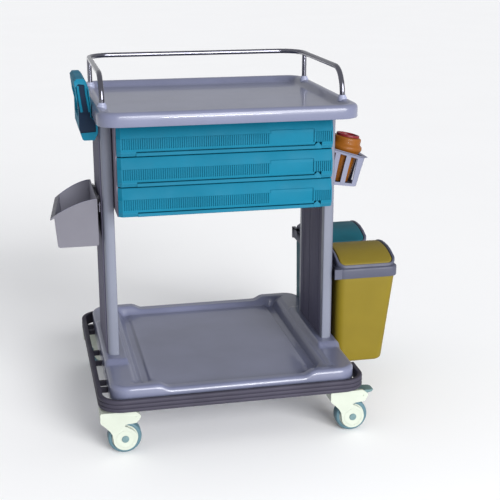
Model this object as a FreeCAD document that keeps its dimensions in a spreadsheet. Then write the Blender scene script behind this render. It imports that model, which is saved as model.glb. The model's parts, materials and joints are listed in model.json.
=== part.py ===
import FreeCAD, Part
import math
import os
import Sketcher

# Medication cart: two moulded trays joined by two columns, three drawers in a cabinet under the
# top tray, swivel casters, and the accessories that hang on the columns.
# Frame: +X to the cart's right, +Y to its back, +Z up, floor at Z = 0. Shapes are drawn about the
# centre of the top tray, and each sub-part's Placement moves that centre by frame_x and frame_y,
# which puts the origin under the middle of the whole footprint, accessories included.

DIMENSIONS = {
    # top tray
    "tray_half_width": 309, "tray_half_depth": 281, "tray_bottom": 791, "tray_crest": 824,
    "tray_floor": 808, "tray_well_half_width": 274, "tray_well_half_depth": 244,
    "tray_corner": 48, "tray_skin": 4,
    # guard rail
    "post_x": 290, "post_y": 176, "rail_height": 895, "rail_radius": 6.35, "rail_bend": 62,
    "socket_radius": 11.5, "socket_height": 9,
    # columns
    "column_inner": 266, "column_outer": 296, "column_front": -124, "column_back": 108,
    "nose_depth": 18, "nose_round": 13, "nose_outer": 293, "slot_width": 8, "slot_depth": 7, "slot_pitch": 85,
    "port_radius": 3.4,
    # cabinet and drawers
    "cabinet_half_width": 264, "cabinet_front": -189, "cabinet_bottom": 561, "cabinet_wall": 3,
    "drawer_pitch": 73, "drawer_gap": 3, "front_half_width": 262, "front_face": -206,
    "front_back": -190, "box_half_width": 245, "box_height": 52, "box_wall": 2.5, "box_back": 92,
    "pull_left": -217, "pull_right": 223,
    # base tray
    "base_half_width": 306, "base_front": -309, "base_back": 295, "base_bottom": 118,
    "base_deck": 172, "base_corner": 40, "base_floor": 150, "base_well_half_width": 243,
    "base_floor_half_width": 222, "base_well_front": -286, "base_well_back": 272,
    "base_skin": 5, "rim_dip": 160, "boss_top": 183, "boss_front": -158, "boss_back": 142, "boss_inner": 250,
    # bumper
    "bumper_bottom": 118, "bumper_height": 31, "bumper_thick": 12, "bumper_left": -336,
    "bumper_right": 327, "bumper_front": -332, "bumper_rear": 318, "bumper_corner": 58,
    # push handle
    "handle_front": -110, "handle_back": 60, "handle_arm": 30, "handle_bottom": 733,
    "handle_top": 880,
    # accessory rails
    "bar_thick": 2.5, "bar_height": 24, "bar_gap": 3,
    # waste bins
    "bin_inner": 303.8, "bin_outer": 471, "bin_depth": 206, "bin_front": -131, "bin_pitch": 235,
    "bin_bottom": 106, "bin_band_bottom": 344, "bin_band_top": 372, "bin_lid_top": 406,
    "bin_taper": 31, "bin_corner": 24, "bin_back_corner": 8, "bin_wall": 2.5,
    "lid_pin_radius": 3, "lid_pivot_rise": 22, "lid_corner": 14, "teal_drop": 8,
    "teal_bottom": 122,
    # storage bin
    "store_inner": -305.6, "store_outer": -411, "store_front": -121, "store_back": 98,
    "store_bottom": 473, "store_rim_outer": 554, "store_rim_inner": 591, "store_wall": 2.5,
    "store_taper": 21,
    # sharps holder
    "sharps_y": -15, "basket_inner": 303, "basket_foot": 376, "basket_reach": 397,
    "basket_low": 581, "basket_low_drop": 10, "basket_rim": 679, "basket_rim_drop": 31.5,
    "basket_half_depth": 47, "basket_wall": 2.5,
    "sharps_tilt": 12, "sharps_x": 333.5, "sharps_z": 584, "sharps_radius": 43.5,
    # casters
    "caster_x": 286, "caster_front": -288, "caster_rear": 274, "wheel_radius": 41,
    "wheel_width": 32, "axle_trail": 10, "axle_radius": 4, "fork_top": 112, "fork_half_width": 25,
    "fork_back": -48, "stem_radius": 6,
    # running clearance between a shaft and its hole
    "running_gap": 0.06,
}


class Size:
    """A number that remembers the spreadsheet expression it comes from."""

    def __init__(self, value, text):
        self.value = value
        self.text = text

    def join(self, other, sign, flipped=False):
        other = as_size(other)
        left, right = (other, self) if flipped else (self, other)
        results = {
            "+": lambda a, b: a + b, "-": lambda a, b: a - b,
            "*": lambda a, b: a * b, "/": lambda a, b: a / b,
        }
        return Size(results[sign](left.value, right.value), f"({left.text} {sign} {right.text})")

    def __add__(self, other):
        return self.join(other, "+")

    def __radd__(self, other):
        return self.join(other, "+", True)

    def __sub__(self, other):
        return self.join(other, "-")

    def __rsub__(self, other):
        return self.join(other, "-", True)

    def __mul__(self, other):
        return self.join(other, "*")

    def __rmul__(self, other):
        return self.join(other, "*", True)

    def __truediv__(self, other):
        return self.join(other, "/")

    def __neg__(self):
        return self * -1


def as_size(number):
    return number if isinstance(number, Size) else Size(float(number), repr(float(number)))


def cell(name):
    return Size(float(DIMENSIONS[name]), "Dims." + name)


document = FreeCAD.newDocument("MedicationCart")
sheet = document.addObject("Spreadsheet::Sheet", "Dims")
for row, (alias, number) in enumerate(DIMENSIONS.items(), start=1):
    sheet.set(f"A{row}", alias)
    sheet.set(f"B{row}", str(number))
    sheet.setAlias(f"B{row}", alias)
document.recompute()

pieces = []
FRAME_X = -(cell("bin_outer") + cell("store_outer") - 10) / 2
FRAME_Y = -(cell("bumper_front") + cell("bumper_rear")) / 2


# ---- building helpers -------------------------------------------------------------------------

def bind(thing, prop, size):
    thing.setExpression(prop, as_size(size).text)


def move(thing, x=0, y=0, z=0):
    for axis, size in zip("xyz", (x, y, z)):
        bind(thing, f"Placement.Base.{axis}", size)


def piece(thing, label, x=0, y=0, z=0):
    """Name a finished sub-part, and place it in the cart's frame."""
    thing.Label = label
    move(thing, FRAME_X + x, FRAME_Y + y, z)
    pieces.append(thing)
    return thing


def turned(thing, axis, angle):
    thing.Placement = FreeCAD.Placement(FreeCAD.Vector(), FreeCAD.Rotation(axis, angle))
    return thing


def block(low, high):
    made = document.addObject("Part::Box", "block")
    for prop, a, b in zip(("Length", "Width", "Height"), low, high):
        bind(made, prop, as_size(b) - as_size(a))
    move(made, *low)
    return made


def rod(start, axis, radius, length):
    """A cylinder from start along +X, +Y or +Z."""
    made = document.addObject("Part::Cylinder", "rod")
    turns = {"X": (FreeCAD.Vector(0, 1, 0), 90), "Y": (FreeCAD.Vector(1, 0, 0), -90)}
    if axis in turns:
        turned(made, *turns[axis])
    bind(made, "Radius", radius)
    bind(made, "Height", length)
    move(made, *start)
    return made


def together(kind, parts):
    made = document.addObject(kind, "joined")
    if kind == "Part::Compound":
        made.Links = parts
    else:
        made.Shapes = parts
    return made


def fused(*parts):
    return parts[0] if len(parts) == 1 else together("Part::MultiFuse", list(parts))


def grouped(*parts):
    return together("Part::Compound", list(parts))


def cut(base, *tools):
    made = document.addObject("Part::Cut", "cut")
    made.Base = base
    made.Tool = fused(*tools)
    return made


def new_body(name):
    return document.addObject("PartDesign::Body", name)


def sketch(body, plane, points, offset):
    """A closed outline of straight lines, every corner bound to the sheet."""
    made = body.newObject("Sketcher::SketchObject", "outline")
    role = next(f for f in body.Origin.OriginFeatures if f.Role == plane + "_Plane")
    made.AttachmentSupport = [(role, "")]
    made.MapMode = "FlatFace"
    bind(made, "AttachmentOffset.Base.z", offset)
    corners = [(as_size(u), as_size(v)) for u, v in points]
    count = len(corners)
    for index, (u, v) in enumerate(corners):
        nu, nv = corners[(index + 1) % count]
        line = Part.LineSegment(
            FreeCAD.Vector(u.value, v.value, 0), FreeCAD.Vector(nu.value, nv.value, 0))
        made.addGeometry(line, False)
    for index in range(count):
        made.addConstraint(
            Sketcher.Constraint("Coincident", index, 2, (index + 1) % count, 1))
    for index, (u, v) in enumerate(corners):
        for kind, size in (("DistanceX", u), ("DistanceY", v)):
            number = made.addConstraint(
                Sketcher.Constraint(kind, -1, 1, index, 1, size.value))
            bind(made, f"Constraints[{number}]", size)
    return made


def pad(body, plane, points, low, high):
    """Material over an outline, from low to high along the plane's own axis."""
    low, high = as_size(low), as_size(high)
    offset = -high if plane == "XZ" else low
    made = body.newObject("PartDesign::Pad", "pad")
    made.Profile = sketch(body, plane, points, offset)
    bind(made, "Length", high - low)
    document.recompute()
    return made


def pocket(body, plane, points, low, high):
    """The same for a cut; it fails if nothing is removed."""
    low, high = as_size(low), as_size(high)
    offset = -low if plane == "XZ" else high
    before = body.Shape.Volume
    made = body.newObject("PartDesign::Pocket", "pocket")
    made.Profile = sketch(body, plane, points, offset)
    bind(made, "Length", high - low)
    document.recompute()
    if not made.Shape.Volume < before - 1:
        raise ValueError(f"a pocket in {body.Name} removes nothing")
    return made


def soften(body, radius, chosen, kind="Fillet"):
    """Round or bevel the edges of the body's tip that a test chooses."""
    tip = body.Tip
    names = [f"Edge{n}" for n, edge in enumerate(tip.Shape.Edges, start=1) if chosen(edge)]
    if not names:
        raise ValueError(f"no edge to soften in {body.Name}")
    made = body.newObject("PartDesign::" + kind, kind.lower())
    made.Base = (tip, names)
    bind(made, "Radius" if kind == "Fillet" else "Size", radius)
    document.recompute()
    return made


def along(edge, axis):
    """Whether a straight edge runs along an axis."""
    if edge.Curve.TypeId != "Part::GeomLine":
        return False
    return abs(getattr(edge.tangentAt(edge.FirstParameter), axis)) > 0.999


def at(edge, **limits):
    """Whether an edge's whole box lies at the given coordinates."""
    box = edge.BoundBox
    for axis, place in limits.items():
        low = getattr(box, axis.upper() + "Min")
        high = getattr(box, axis.upper() + "Max")
        if abs(low - place) > 0.05 or abs(high - place) > 0.05:
            return False
    return True


def within(edge, half_x, half_y):
    """Whether an edge stays inside a plan rectangle about the centre."""
    box = edge.BoundBox
    wide = max(abs(box.XMin), abs(box.XMax))
    deep = max(abs(box.YMin), abs(box.YMax))
    return wide < half_x.value + 0.1 and deep < half_y.value + 0.1


def rectangle(x1, y1, x2, y2):
    return [(x1, y1), (x2, y1), (x2, y2), (x1, y2)]


def mirrored(source, normal):
    made = document.addObject("Part::Mirroring", "mirror")
    made.Source = source
    made.Normal = normal
    return made


# ---- top tray and guard rail ------------------------------------------------------------------

def make_top_tray():
    half_x, half_y = cell("tray_half_width"), cell("tray_half_depth")
    well_x, well_y = cell("tray_well_half_width"), cell("tray_well_half_depth")
    low, crest, floor = cell("tray_bottom"), cell("tray_crest"), cell("tray_floor")
    skin = cell("tray_skin")
    body = new_body("top_tray_body")
    pad(body, "XY", rectangle(-half_x, -half_y, half_x, half_y), low, crest)
    soften(body, cell("tray_corner"), lambda e: along(e, "z"))
    soften(body, 11, lambda e: at(e, z=crest.value))
    pocket(body, "XY", rectangle(-well_x, -well_y, well_x, well_y), floor, crest)
    soften(body, cell("tray_corner") / 2, lambda e: along(e, "z") and e.BoundBox.ZMin > floor.value - 1)
    soften(body, 7, lambda e: at(e, z=crest.value) and within(e, well_x, well_y))
    inner_x, inner_y = half_x - skin, half_y - skin
    hollow = new_body("top_tray_underside")
    pad(hollow, "XY", rectangle(-inner_x, -inner_y, inner_x, inner_y), low - 1, floor - skin)
    soften(hollow, cell("tray_corner") - skin, lambda e: along(e, "z"))
    seats = [rod((x, y, crest - 6), "Z", cell("socket_radius"), 20) for x, y in post_places()]
    piece(cut(body, hollow, *seats), "top_tray")


def post_places():
    return [(sx * cell("post_x"), sy * cell("post_y")) for sx in (-1, 1) for sy in (-1, 1)]


def make_rail_sockets():
    """Four collars on the tray's rim that hold the rail's legs."""
    radius, tall, crest = cell("socket_radius"), cell("socket_height"), cell("tray_crest")
    collars = []
    for x, y in post_places():
        ring = rod((x, y, crest - 6), "Z", radius, tall + 6)
        collars.append(cut(ring, rod((x, y, crest - 7), "Z", cell("rail_radius"), tall + 8)))
    piece(grouped(*collars), "rail_sockets")


def make_guard_rail():
    """One bent tube round three sides, with two straight posts under its rear corners."""
    x, y = cell("post_x").value, cell("post_y").value
    top, foot = cell("rail_height").value, cell("tray_crest").value - 4
    bend, radius = cell("rail_bend").value, cell("rail_radius").value
    back = y + bend
    half = bend * math.sqrt(0.5)
    point = FreeCAD.Vector

    def side(sign):
        rise = Part.LineSegment(point(sign * x, -y, foot), point(sign * x, -y, top - bend))
        over = Part.Arc(
            point(sign * x, -y, top - bend),
            point(sign * x, -y + bend - half, top - bend + half),
            point(sign * x, -y + bend, top))
        run = Part.LineSegment(point(sign * x, -y + bend, top), point(sign * x, y, top))
        corner = Part.Arc(
            point(sign * x, y, top),
            point(sign * (x - bend + half), y + half, top),
            point(sign * (x - bend), back, top))
        return [rise, over, run, corner]

    across = Part.LineSegment(point(-x + bend, back, top), point(x - bend, back, top))
    curves = side(-1) + [across] + side(1)[::-1]
    path = Part.Wire(Part.__sortEdges__([curve.toShape() for curve in curves]))
    ring = Part.Wire(Part.makeCircle(radius, point(-x, -y, foot), point(0, 0, 1)))
    tube = path.makePipeShell([ring], True, False, 2)
    posts = [Part.makeCylinder(radius, top - foot, point(s * x, y, foot)) for s in (-1, 1)]
    made = document.addObject("Part::Feature", "guard_rail_tube")
    made.Shape = tube.fuse(posts).removeSplitter()
    piece(made, "guard_rail")


# ---- columns ----------------------------------------------------------------------------------

def slot_rows():
    middle = (cell("column_front") + cell("column_back")) / 2
    return [middle - cell("slot_pitch"), middle, middle + cell("slot_pitch")]


def make_columns():
    """Extruded columns with three slots in each broad face and a screw port behind each slot."""
    inner, outer = cell("column_inner"), cell("column_outer")
    nose = cell("nose_depth")
    front, back = cell("column_front") + nose, cell("column_back") - nose
    low, high = cell("boss_top"), cell("tray_floor") - cell("tray_skin")
    wide, deep = cell("slot_width") / 2, cell("slot_depth")
    body = new_body("column_profile")
    pad(body, "XY", rectangle(inner, front, outer, back), low, high)
    rows = slot_rows()
    for row in rows:
        pocket(body, "XY", rectangle(inner - 1, row - wide, inner + deep, row + wide), low, high)
        pocket(body, "XY", rectangle(outer - deep, row - wide, outer + 1, row + wide), low, high)
    for near, far in zip(rows, rows[1:]):
        pocket(body, "XY", rectangle(inner + 3, near + 10, outer - 3, far - 10), low, high)
    middle = (inner + outer) / 2
    ports = [rod((middle, row, low - 1), "Z", cell("port_radius"), high - low + 2) for row in rows]
    right = cut(body, *ports)
    piece(right, "column_right")
    piece(mirrored(right_copy(right), FreeCAD.Vector(1, 0, 0)), "column_left")


def right_copy(source):
    """A copy that stays in the drawing position, for mirroring."""
    made = document.addObject("Part::Compound", "unplaced")
    made.Links = [source.Base]
    tools = source.Tool
    made = cut(made, tools)
    return made


def nose(sign_y):
    """A half-round cover along one narrow side of a column."""
    inner, outer, deep = cell("column_inner"), cell("nose_outer"), cell("nose_depth")
    edge = cell("column_front") if sign_y < 0 else cell("column_back")
    root = edge - sign_y * deep
    low, high = cell("boss_top"), cell("tray_floor") - cell("tray_skin")
    body = new_body("nose_profile")
    lows, highs = (edge, root) if sign_y < 0 else (root, edge)
    pad(body, "XY", rectangle(inner, lows, outer, highs), low, high)
    soften(body, cell("nose_round"), lambda e: along(e, "z") and at(e, x=outer.value, y=edge.value))
    soften(body, 3, lambda e: along(e, "z") and at(e, x=inner.value, y=edge.value))
    return body


def make_column_covers():
    right = grouped(nose(-1), nose(1))
    piece(grouped(right, mirrored(right, FreeCAD.Vector(1, 0, 0))), "column_covers")


def make_column_bolts():
    """Bolts up through the base bosses into the screw ports of the columns."""
    middle = (cell("column_inner") + cell("column_outer")) / 2
    top = cell("boss_top")
    bolts = []
    for sign in (-1, 1):
        for row in slot_rows():
            shank = rod((sign * middle, row, top - 5), "Z", cell("port_radius"), 30)
            head = rod((sign * middle, row, top - 10), "Z", 5, 5)
            bolts.append(fused(shank, head))
    piece(grouped(*bolts), "column_bolts")


# ---- cabinet and drawers ----------------------------------------------------------------------

def screw_rows():
    """Places of the cabinet's side screws, on the front and rear slots of the columns."""
    rows = slot_rows()
    low = cell("cabinet_bottom")
    return [(row, low + tall) for row in (rows[0], rows[2]) for tall in (18, 216)]


def make_cabinet():
    half, wall = cell("cabinet_half_width"), cell("cabinet_wall")
    front, back = cell("cabinet_front"), cell("column_back")
    low, high = cell("cabinet_bottom"), cell("tray_floor") - cell("tray_skin")
    body = new_body("cabinet_body")
    pad(body, "XY", rectangle(-half, front, half, back), low, high)
    pocket(body, "XZ", rectangle(wall - half, low + wall, half - wall, high - wall),
           front - 1, back - wall)
    reach = cell("column_inner") + 2
    holes = [rod((-reach, y, z), "X", 3, 2 * reach) for y, z in screw_rows()]
    piece(cut(body, *holes), "cabinet_shell")


def make_cabinet_screws():
    """Screws from inside the cabinet through its side and a spacer into the column slots."""
    half, wall, inner = cell("cabinet_half_width"), cell("cabinet_wall"), cell("column_inner")
    screws = []
    for y, z in screw_rows():
        shank = rod((half - wall, y, z), "X", 3, inner - half + wall + 6)
        head = rod((half - wall - 2, y, z), "X", 5, 2)
        spacer = cut(rod((half, y, z), "X", 8, inner - half), rod((half - 1, y, z), "X", 3, 4))
        screws.append(grouped(fused(shank, head), spacer))
    right = grouped(*screws)
    piece(grouped(right, mirrored(right, FreeCAD.Vector(1, 0, 0))), "cabinet_screws")


def drawer_low(number):
    """Lower edge of a drawer's front; drawer 1 is the top one."""
    return cell("cabinet_bottom") + 1 + (3 - number) * cell("drawer_pitch")


def runner_z(number):
    return drawer_low(number) + 34


def make_runners():
    """Fixed channels on the cabinet's sides, one pair to a drawer."""
    wall_face = cell("cabinet_half_width") - cell("cabinet_wall")
    front, back = cell("cabinet_front") + 4, cell("column_back") - 12
    channels = []
    for number in (1, 2, 3):
        mid = runner_z(number)
        solid = block((wall_face - 10, front, mid - 11), (wall_face, back, mid + 11))
        hollow = block((wall_face - 11, front - 1, mid - 9.5), (wall_face - 1.5, back + 1, mid + 9.5))
        channels.append(cut(solid, hollow))
    right = grouped(*channels)
    piece(grouped(right, mirrored(right, FreeCAD.Vector(1, 0, 0))), "drawer_runners")


def make_drawer(number):
    low = drawer_low(number)
    half, wall = cell("box_half_width"), cell("box_wall")
    start, back = cell("front_back"), cell("box_back")
    floor = low + 10

    box = new_body(f"drawer_{number}_body")
    pad(box, "XY", rectangle(-half, start, half, back), floor, floor + cell("box_height"))
    pocket(box, "XY", rectangle(wall - half, start + wall, half - wall, back - wall),
           floor + wall, floor + cell("box_height"))
    piece(box, f"drawer_{number}_box")

    mid = runner_z(number)
    wall_face = cell("cabinet_half_width") - cell("cabinet_wall")
    slide = block((half, start + 6, mid - 8.5), (wall_face - 2.5, back, mid + 8.5))
    piece(grouped(slide, mirrored(slide, FreeCAD.Vector(1, 0, 0))), f"drawer_{number}_slides")

    top = low + cell("drawer_pitch") - cell("drawer_gap")
    face, width = cell("front_face"), cell("front_half_width")
    front = new_body(f"drawer_{number}_face")
    outline = [(start, low), (start, top), (face + 7, top), (face + 3, low + 44),
               (face, low + 43), (face, low + 13), (face + 4, low)]
    pad(front, "YZ", outline, -width, width)
    left, right = cell("pull_left"), cell("pull_right")
    pocket(front, "XZ", rectangle(left, low + 12, right, low + 18), face - 1, face + 12)
    pocket(front, "XZ", rectangle(left, low + 6, right, low + 13), face + 5, face + 12)
    piece(front, f"drawer_{number}_front")


# ---- base tray and bumper ---------------------------------------------------------------------

def make_base_tray():
    half, front, back = cell("base_half_width"), cell("base_front"), cell("base_back")
    low, deck, skin = cell("base_bottom"), cell("base_deck"), cell("base_skin")
    body = new_body("base_tray_body")
    pad(body, "XY", rectangle(-half, front, half, back), low, deck)
    soften(body, cell("base_corner"), lambda e: along(e, "z"))
    soften(body, 9, lambda e: at(e, z=deck.value))
    boss_in, boss_front, boss_back = cell("boss_inner"), cell("boss_front"), cell("boss_back")
    for near, far in ((boss_in, half - 6), (6 - half, -boss_in)):
        pad(body, "XY", rectangle(near, boss_front, far, boss_back), deck - 4, cell("boss_top"))
    soften(body, 5, lambda e: at(e, z=cell("boss_top").value))
    well, step = cell("base_well_half_width"), cell("base_floor_half_width")
    w_front, w_back = cell("base_well_front"), cell("base_well_back")
    floor = cell("base_floor")
    pocket(body, "XY", rectangle(-well, w_front, well, w_back), floor + 8, deck)
    pocket(body, "XY", rectangle(-step, w_front, step, w_back), floor, deck)
    soften(body, 14, lambda e: along(e, "z") and e.BoundBox.ZMin > floor.value - 1
           and abs(abs(e.BoundBox.XMin) - step.value) < 0.1)
    pocket(body, "XY", rectangle(-step, w_front + 6, step, w_back - 6), low, floor - skin)
    dip = [(-198, deck + 1), (-165, cell("rim_dip")), (165, cell("rim_dip")), (193, deck + 1)]
    pocket(body, "XZ", dip, front - 1, w_front + 1)
    pocket(body, "XZ", dip, w_back - 1, back + 1)
    middle = (cell("column_inner") + cell("column_outer")) / 2
    seat = cell("boss_top") - 5
    holes = [rod((sign * middle, row, low - 1), "Z", 5.2, seat - low + 1)
             for sign in (-1, 1) for row in slot_rows()]
    holes += [rod((sign * middle, row, low), "Z", cell("port_radius"), 80)
              for sign in (-1, 1) for row in slot_rows()]
    stems = [rod((x, y, low - 1), "Z", cell("stem_radius"), 26) for x, y in caster_places()]
    piece(cut(body, *holes, *stems), "base_tray")


def bumper_band(thick, outset, low, high):
    """One band of the bumper: a strip that runs round the base and stops at the bin side."""
    left, right = cell("bumper_left").value - outset, cell("bumper_right").value + outset
    front, rear = cell("bumper_front").value - outset, cell("bumper_rear").value + outset
    corner = cell("bumper_corner").value + outset
    half = corner * (1 - math.sqrt(0.5))
    point = FreeCAD.Vector
    start = point(right, cell("boss_front").value - 60, low)
    end = point(cell("base_half_width").value - 60, rear, low)
    edges = [
        Part.LineSegment(start, point(right, front + corner, low)),
        Part.Arc(point(right, front + corner, low), point(right - half, front + half, low),
                 point(right - corner, front, low)),
        Part.LineSegment(point(right - corner, front, low), point(left + corner, front, low)),
        Part.Arc(point(left + corner, front, low), point(left + half, front + half, low),
                 point(left, front + corner, low)),
        Part.LineSegment(point(left, front + corner, low), point(left, rear - corner, low)),
        Part.Arc(point(left, rear - corner, low), point(left + half, rear - half, low),
                 point(left + corner, rear, low)),
        Part.LineSegment(point(left + corner, rear, low), end),
    ]
    path = Part.Wire([edge.toShape() for edge in edges])
    section = Part.makePolygon([
        start, start + point(-thick, 0, 0), start + point(-thick, 0, high - low),
        start + point(0, 0, high - low), start])
    return path.makePipeShell([section], True, False, 1)


def make_bumper():
    """A strip with three ribs along its outer face."""
    low, tall = cell("bumper_bottom").value, cell("bumper_height").value
    thick = cell("bumper_thick").value
    strip = bumper_band(thick - 2, -2, low, low + tall)
    ribs = [bumper_band(4, 0, low + tall * place, low + tall * (place + 0.24))
            for place in (0.04, 0.38, 0.72)]
    made = document.addObject("Part::Feature", "bumper_strip")
    made.Shape = strip.fuse(ribs)
    piece(made, "bumper")


def make_bumper_brackets():
    """Stand-off blocks between the base wall and the bumper."""
    low, high = cell("bumper_bottom") + 8, cell("bumper_bottom") + 20
    half, thick = cell("base_half_width"), cell("bumper_thick")
    left, right = cell("bumper_left") + thick, cell("bumper_right") - thick
    blocks = [block((left, y, low), (-half, y + 10, high)) for y in (-222, -180, -50, 22, 180, 222)]
    blocks.append(block((half, -228, low), (right, -218, high)))
    front, rear = cell("bumper_front") + thick, cell("bumper_rear") - thick
    for x in (-200, 0, 200):
        blocks.append(block((x - 6, front, low), (x + 6, cell("base_front"), high)))
        blocks.append(block((x - 6, cell("base_back"), low), (x + 6, rear, high)))
    piece(grouped(*blocks), "bumper_brackets")


# ---- push handle ------------------------------------------------------------------------------

def handle_outline():
    """The handle seen from the front: it stands on the column and leans out past the tray."""
    low, high = cell("handle_bottom"), cell("handle_top")
    root = -cell("column_outer")
    clear = -cell("tray_half_width") - 2
    return [
        (root, low + 17), (root, low + 49), (clear, low + 54), (clear, low + 86),
        (clear - 3, high - 24), (clear - 9, high - 6), (clear - 15, high),
        (clear - 31, high), (clear - 37, high - 7), (clear - 33, high - 46),
        (clear - 29, high - 66), (clear - 29, high - 120), (clear - 22, low + 2),
        (clear - 18, low), (root - 9, low),
    ]


def make_handle():
    """Two arms joined by a grip along the top and a foot along the bottom."""
    front, back, arm = cell("handle_front"), cell("handle_back"), cell("handle_arm")
    low, high = cell("handle_bottom"), cell("handle_top")
    body = new_body("push_handle_body")
    pad(body, "XZ", handle_outline(), front, back)
    far = -cell("tray_half_width") - 60
    pocket(body, "YZ", rectangle(front + arm, low + 52, back - arm, high - 26), far,
           -cell("column_outer") + 1)
    bores = []
    for y, z in handle_screw_places():
        bores.append(rod((far, y, z), "X", 6, -cell("column_outer") - 8 - far))
        bores.append(rod((far, y, z), "X", 3, 100))
    piece(cut(body, *bores), "push_handle")


def handle_screw_places():
    rows = slot_rows()
    low = cell("handle_bottom")
    return [(row, low + tall) for row in (rows[0], rows[1]) for tall in (16, 40)]


def make_handle_screws():
    root = -cell("column_outer")
    screws = [fused(rod((root - 8, y, z), "X", 3, 8 + 6), rod((root - 12, y, z), "X", 5.4, 4))
              for y, z in handle_screw_places()]
    piece(grouped(*screws), "handle_screws")


# ---- accessory bars ---------------------------------------------------------------------------

def make_bar(label, sign, ends, low):
    """A flat bar held off a column's outer face, for hooks to drop over, with its spacers."""
    face, gap, thick = cell("column_outer"), cell("bar_gap"), cell("bar_thick")
    high = low + cell("bar_height")
    near, far = face + gap, face + gap + thick
    if sign < 0:
        bar = block((-far, ends[0], low), (-near, ends[1], high))
    else:
        bar = block((near, ends[0], low), (far, ends[1], high))
    middle = low + cell("bar_height") / 2
    places = [slot_rows()[0], slot_rows()[1], slot_rows()[2]]
    reach = face - 6 if sign > 0 else -(far + 2)
    holes = [rod((reach, y, middle), "X", 2.5, gap + thick + 8) for y in places]
    piece(cut(bar, *holes), label)
    fasteners = []
    for y in places:
        spacer = cut(rod((face, y, middle), "X", 6, gap), rod((face - 1, y, middle), "X", 2.5, gap + 2))
        screw = fused(rod((face - 6, y, middle), "X", 2.5, gap + thick + 6),
                      rod((far, y, middle), "X", 4.5, 1.7))
        fasteners += [spacer, screw]
    return grouped(*fasteners)


def make_bars():
    right = make_bar("bin_bar", 1, (cell("column_front") + 2, cell("bin_front") + 2 *
                     cell("bin_pitch") - 40), cell("bin_band_bottom") - 2)
    left = make_bar("storage_bar", -1, (cell("store_front") + 6, cell("store_back") - 6),
                    cell("store_rim_inner") - 34)
    piece(grouped(right, mirrored(left, FreeCAD.Vector(1, 0, 0))), "bar_screws")


def hook(sign, y, low, face):
    """A tongue that goes over a bar and down behind it."""
    near, thick = cell("column_outer") + cell("bar_gap"), cell("bar_thick")
    high = low + cell("bar_height")
    if sign > 0:
        over = block((near - 2.6, y, high + 0.6), (face, y + 24, high + 4))
        tongue = block((near - 2.6, y, high - 14), (near - 0.6, y + 24, high + 0.7))
    else:
        over = block((face, y, high + 0.6), (2.6 - near, y + 24, high + 4))
        tongue = block((0.6 - near, y, high - 14), (2.6 - near, y + 24, high + 0.7))
    return [over, tongue]


# ---- waste bins -------------------------------------------------------------------------------

def rounded_wire(x1, y1, x2, y2, radius, z, near=None):
    """A rectangle with round corners, as a wire at height z; near is the radius at the x1 end."""
    point = FreeCAD.Vector
    near = near or radius
    k, j = [size * (1 - math.sqrt(0.5)) for size in (radius, near)]
    corners = [
        ((x1, y1 + near), (x1 + j, y1 + j), (x1 + near, y1)),
        ((x2 - radius, y1), (x2 - k, y1 + k), (x2, y1 + radius)),
        ((x2, y2 - radius), (x2 - k, y2 - k), (x2 - radius, y2)),
        ((x1 + near, y2), (x1 + j, y2 - j), (x1, y2 - near)),
    ]
    edges = []
    for index, corner in enumerate(corners):
        a, b, c = [point(x, y, z) for x, y in corner]
        edges.append(Part.Arc(a, b, c).toShape())
        following = corners[(index + 1) % 4][0]
        edges.append(Part.LineSegment(c, point(*following, z)).toShape())
    return Part.Wire(edges)


def tapered(lower, upper):
    return Part.makeLoft([lower, upper], True, True)


def bin_box():
    return (cell("bin_inner").value, cell("bin_outer").value, cell("bin_front").value,
            cell("bin_front").value + cell("bin_depth").value)


def make_bin_body(low):
    """A tapered bucket with a flat back towards the cart."""
    x1, x2, y1, y2 = bin_box()
    high = cell("bin_band_top").value - 14
    taper, corner, wall = cell("bin_taper").value, cell("bin_corner").value, cell("bin_wall").value
    back = cell("bin_back_corner").value
    inset, slope = 3.2, 14

    def level(grow, foot, z_low, z_high):
        return tapered(
            rounded_wire(x1 + 4 + grow, y1 + slope + grow, x2 - foot - grow, y2 - slope - grow,
                         corner - grow, z_low, back - grow),
            rounded_wire(x1 + inset + grow, y1 + inset + grow, x2 - inset - grow,
                         y2 - inset - grow, corner - grow, z_high, back - grow))

    outer = level(0, taper, low, high)
    inner = level(wall, taper, low + 3, high + 0.01)
    made = document.addObject("Part::Feature", "bin_bucket")
    made.Shape = outer.cut(inner)
    return made


def lid_centre():
    """The swing lid's pivot, in the plane across the bin."""
    return cell("bin_front") + cell("bin_depth") / 2, cell("bin_band_top") + cell("lid_pivot_rise")


def dome(low_x, high_x, half_span, rise, sill):
    """A solid along X whose top is an arc of the given span and rise above the sill."""
    y, _ = lid_centre()
    mid = y.value
    point = FreeCAD.Vector
    base = sill - 6
    arc = Part.Arc(point(low_x, mid - half_span, sill), point(low_x, mid, sill + rise),
                   point(low_x, mid + half_span, sill))
    edges = [
        arc.toShape(),
        Part.LineSegment(point(low_x, mid + half_span, sill), point(low_x, mid + half_span, base)),
        Part.LineSegment(point(low_x, mid + half_span, base), point(low_x, mid - half_span, base)),
        Part.LineSegment(point(low_x, mid - half_span, base), point(low_x, mid - half_span, sill)),
    ]
    wire = Part.Wire([edges[0]] + [edge.toShape() for edge in edges[1:]])
    return Part.Face(wire).extrude(point(high_x - low_x, 0, 0))


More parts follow.
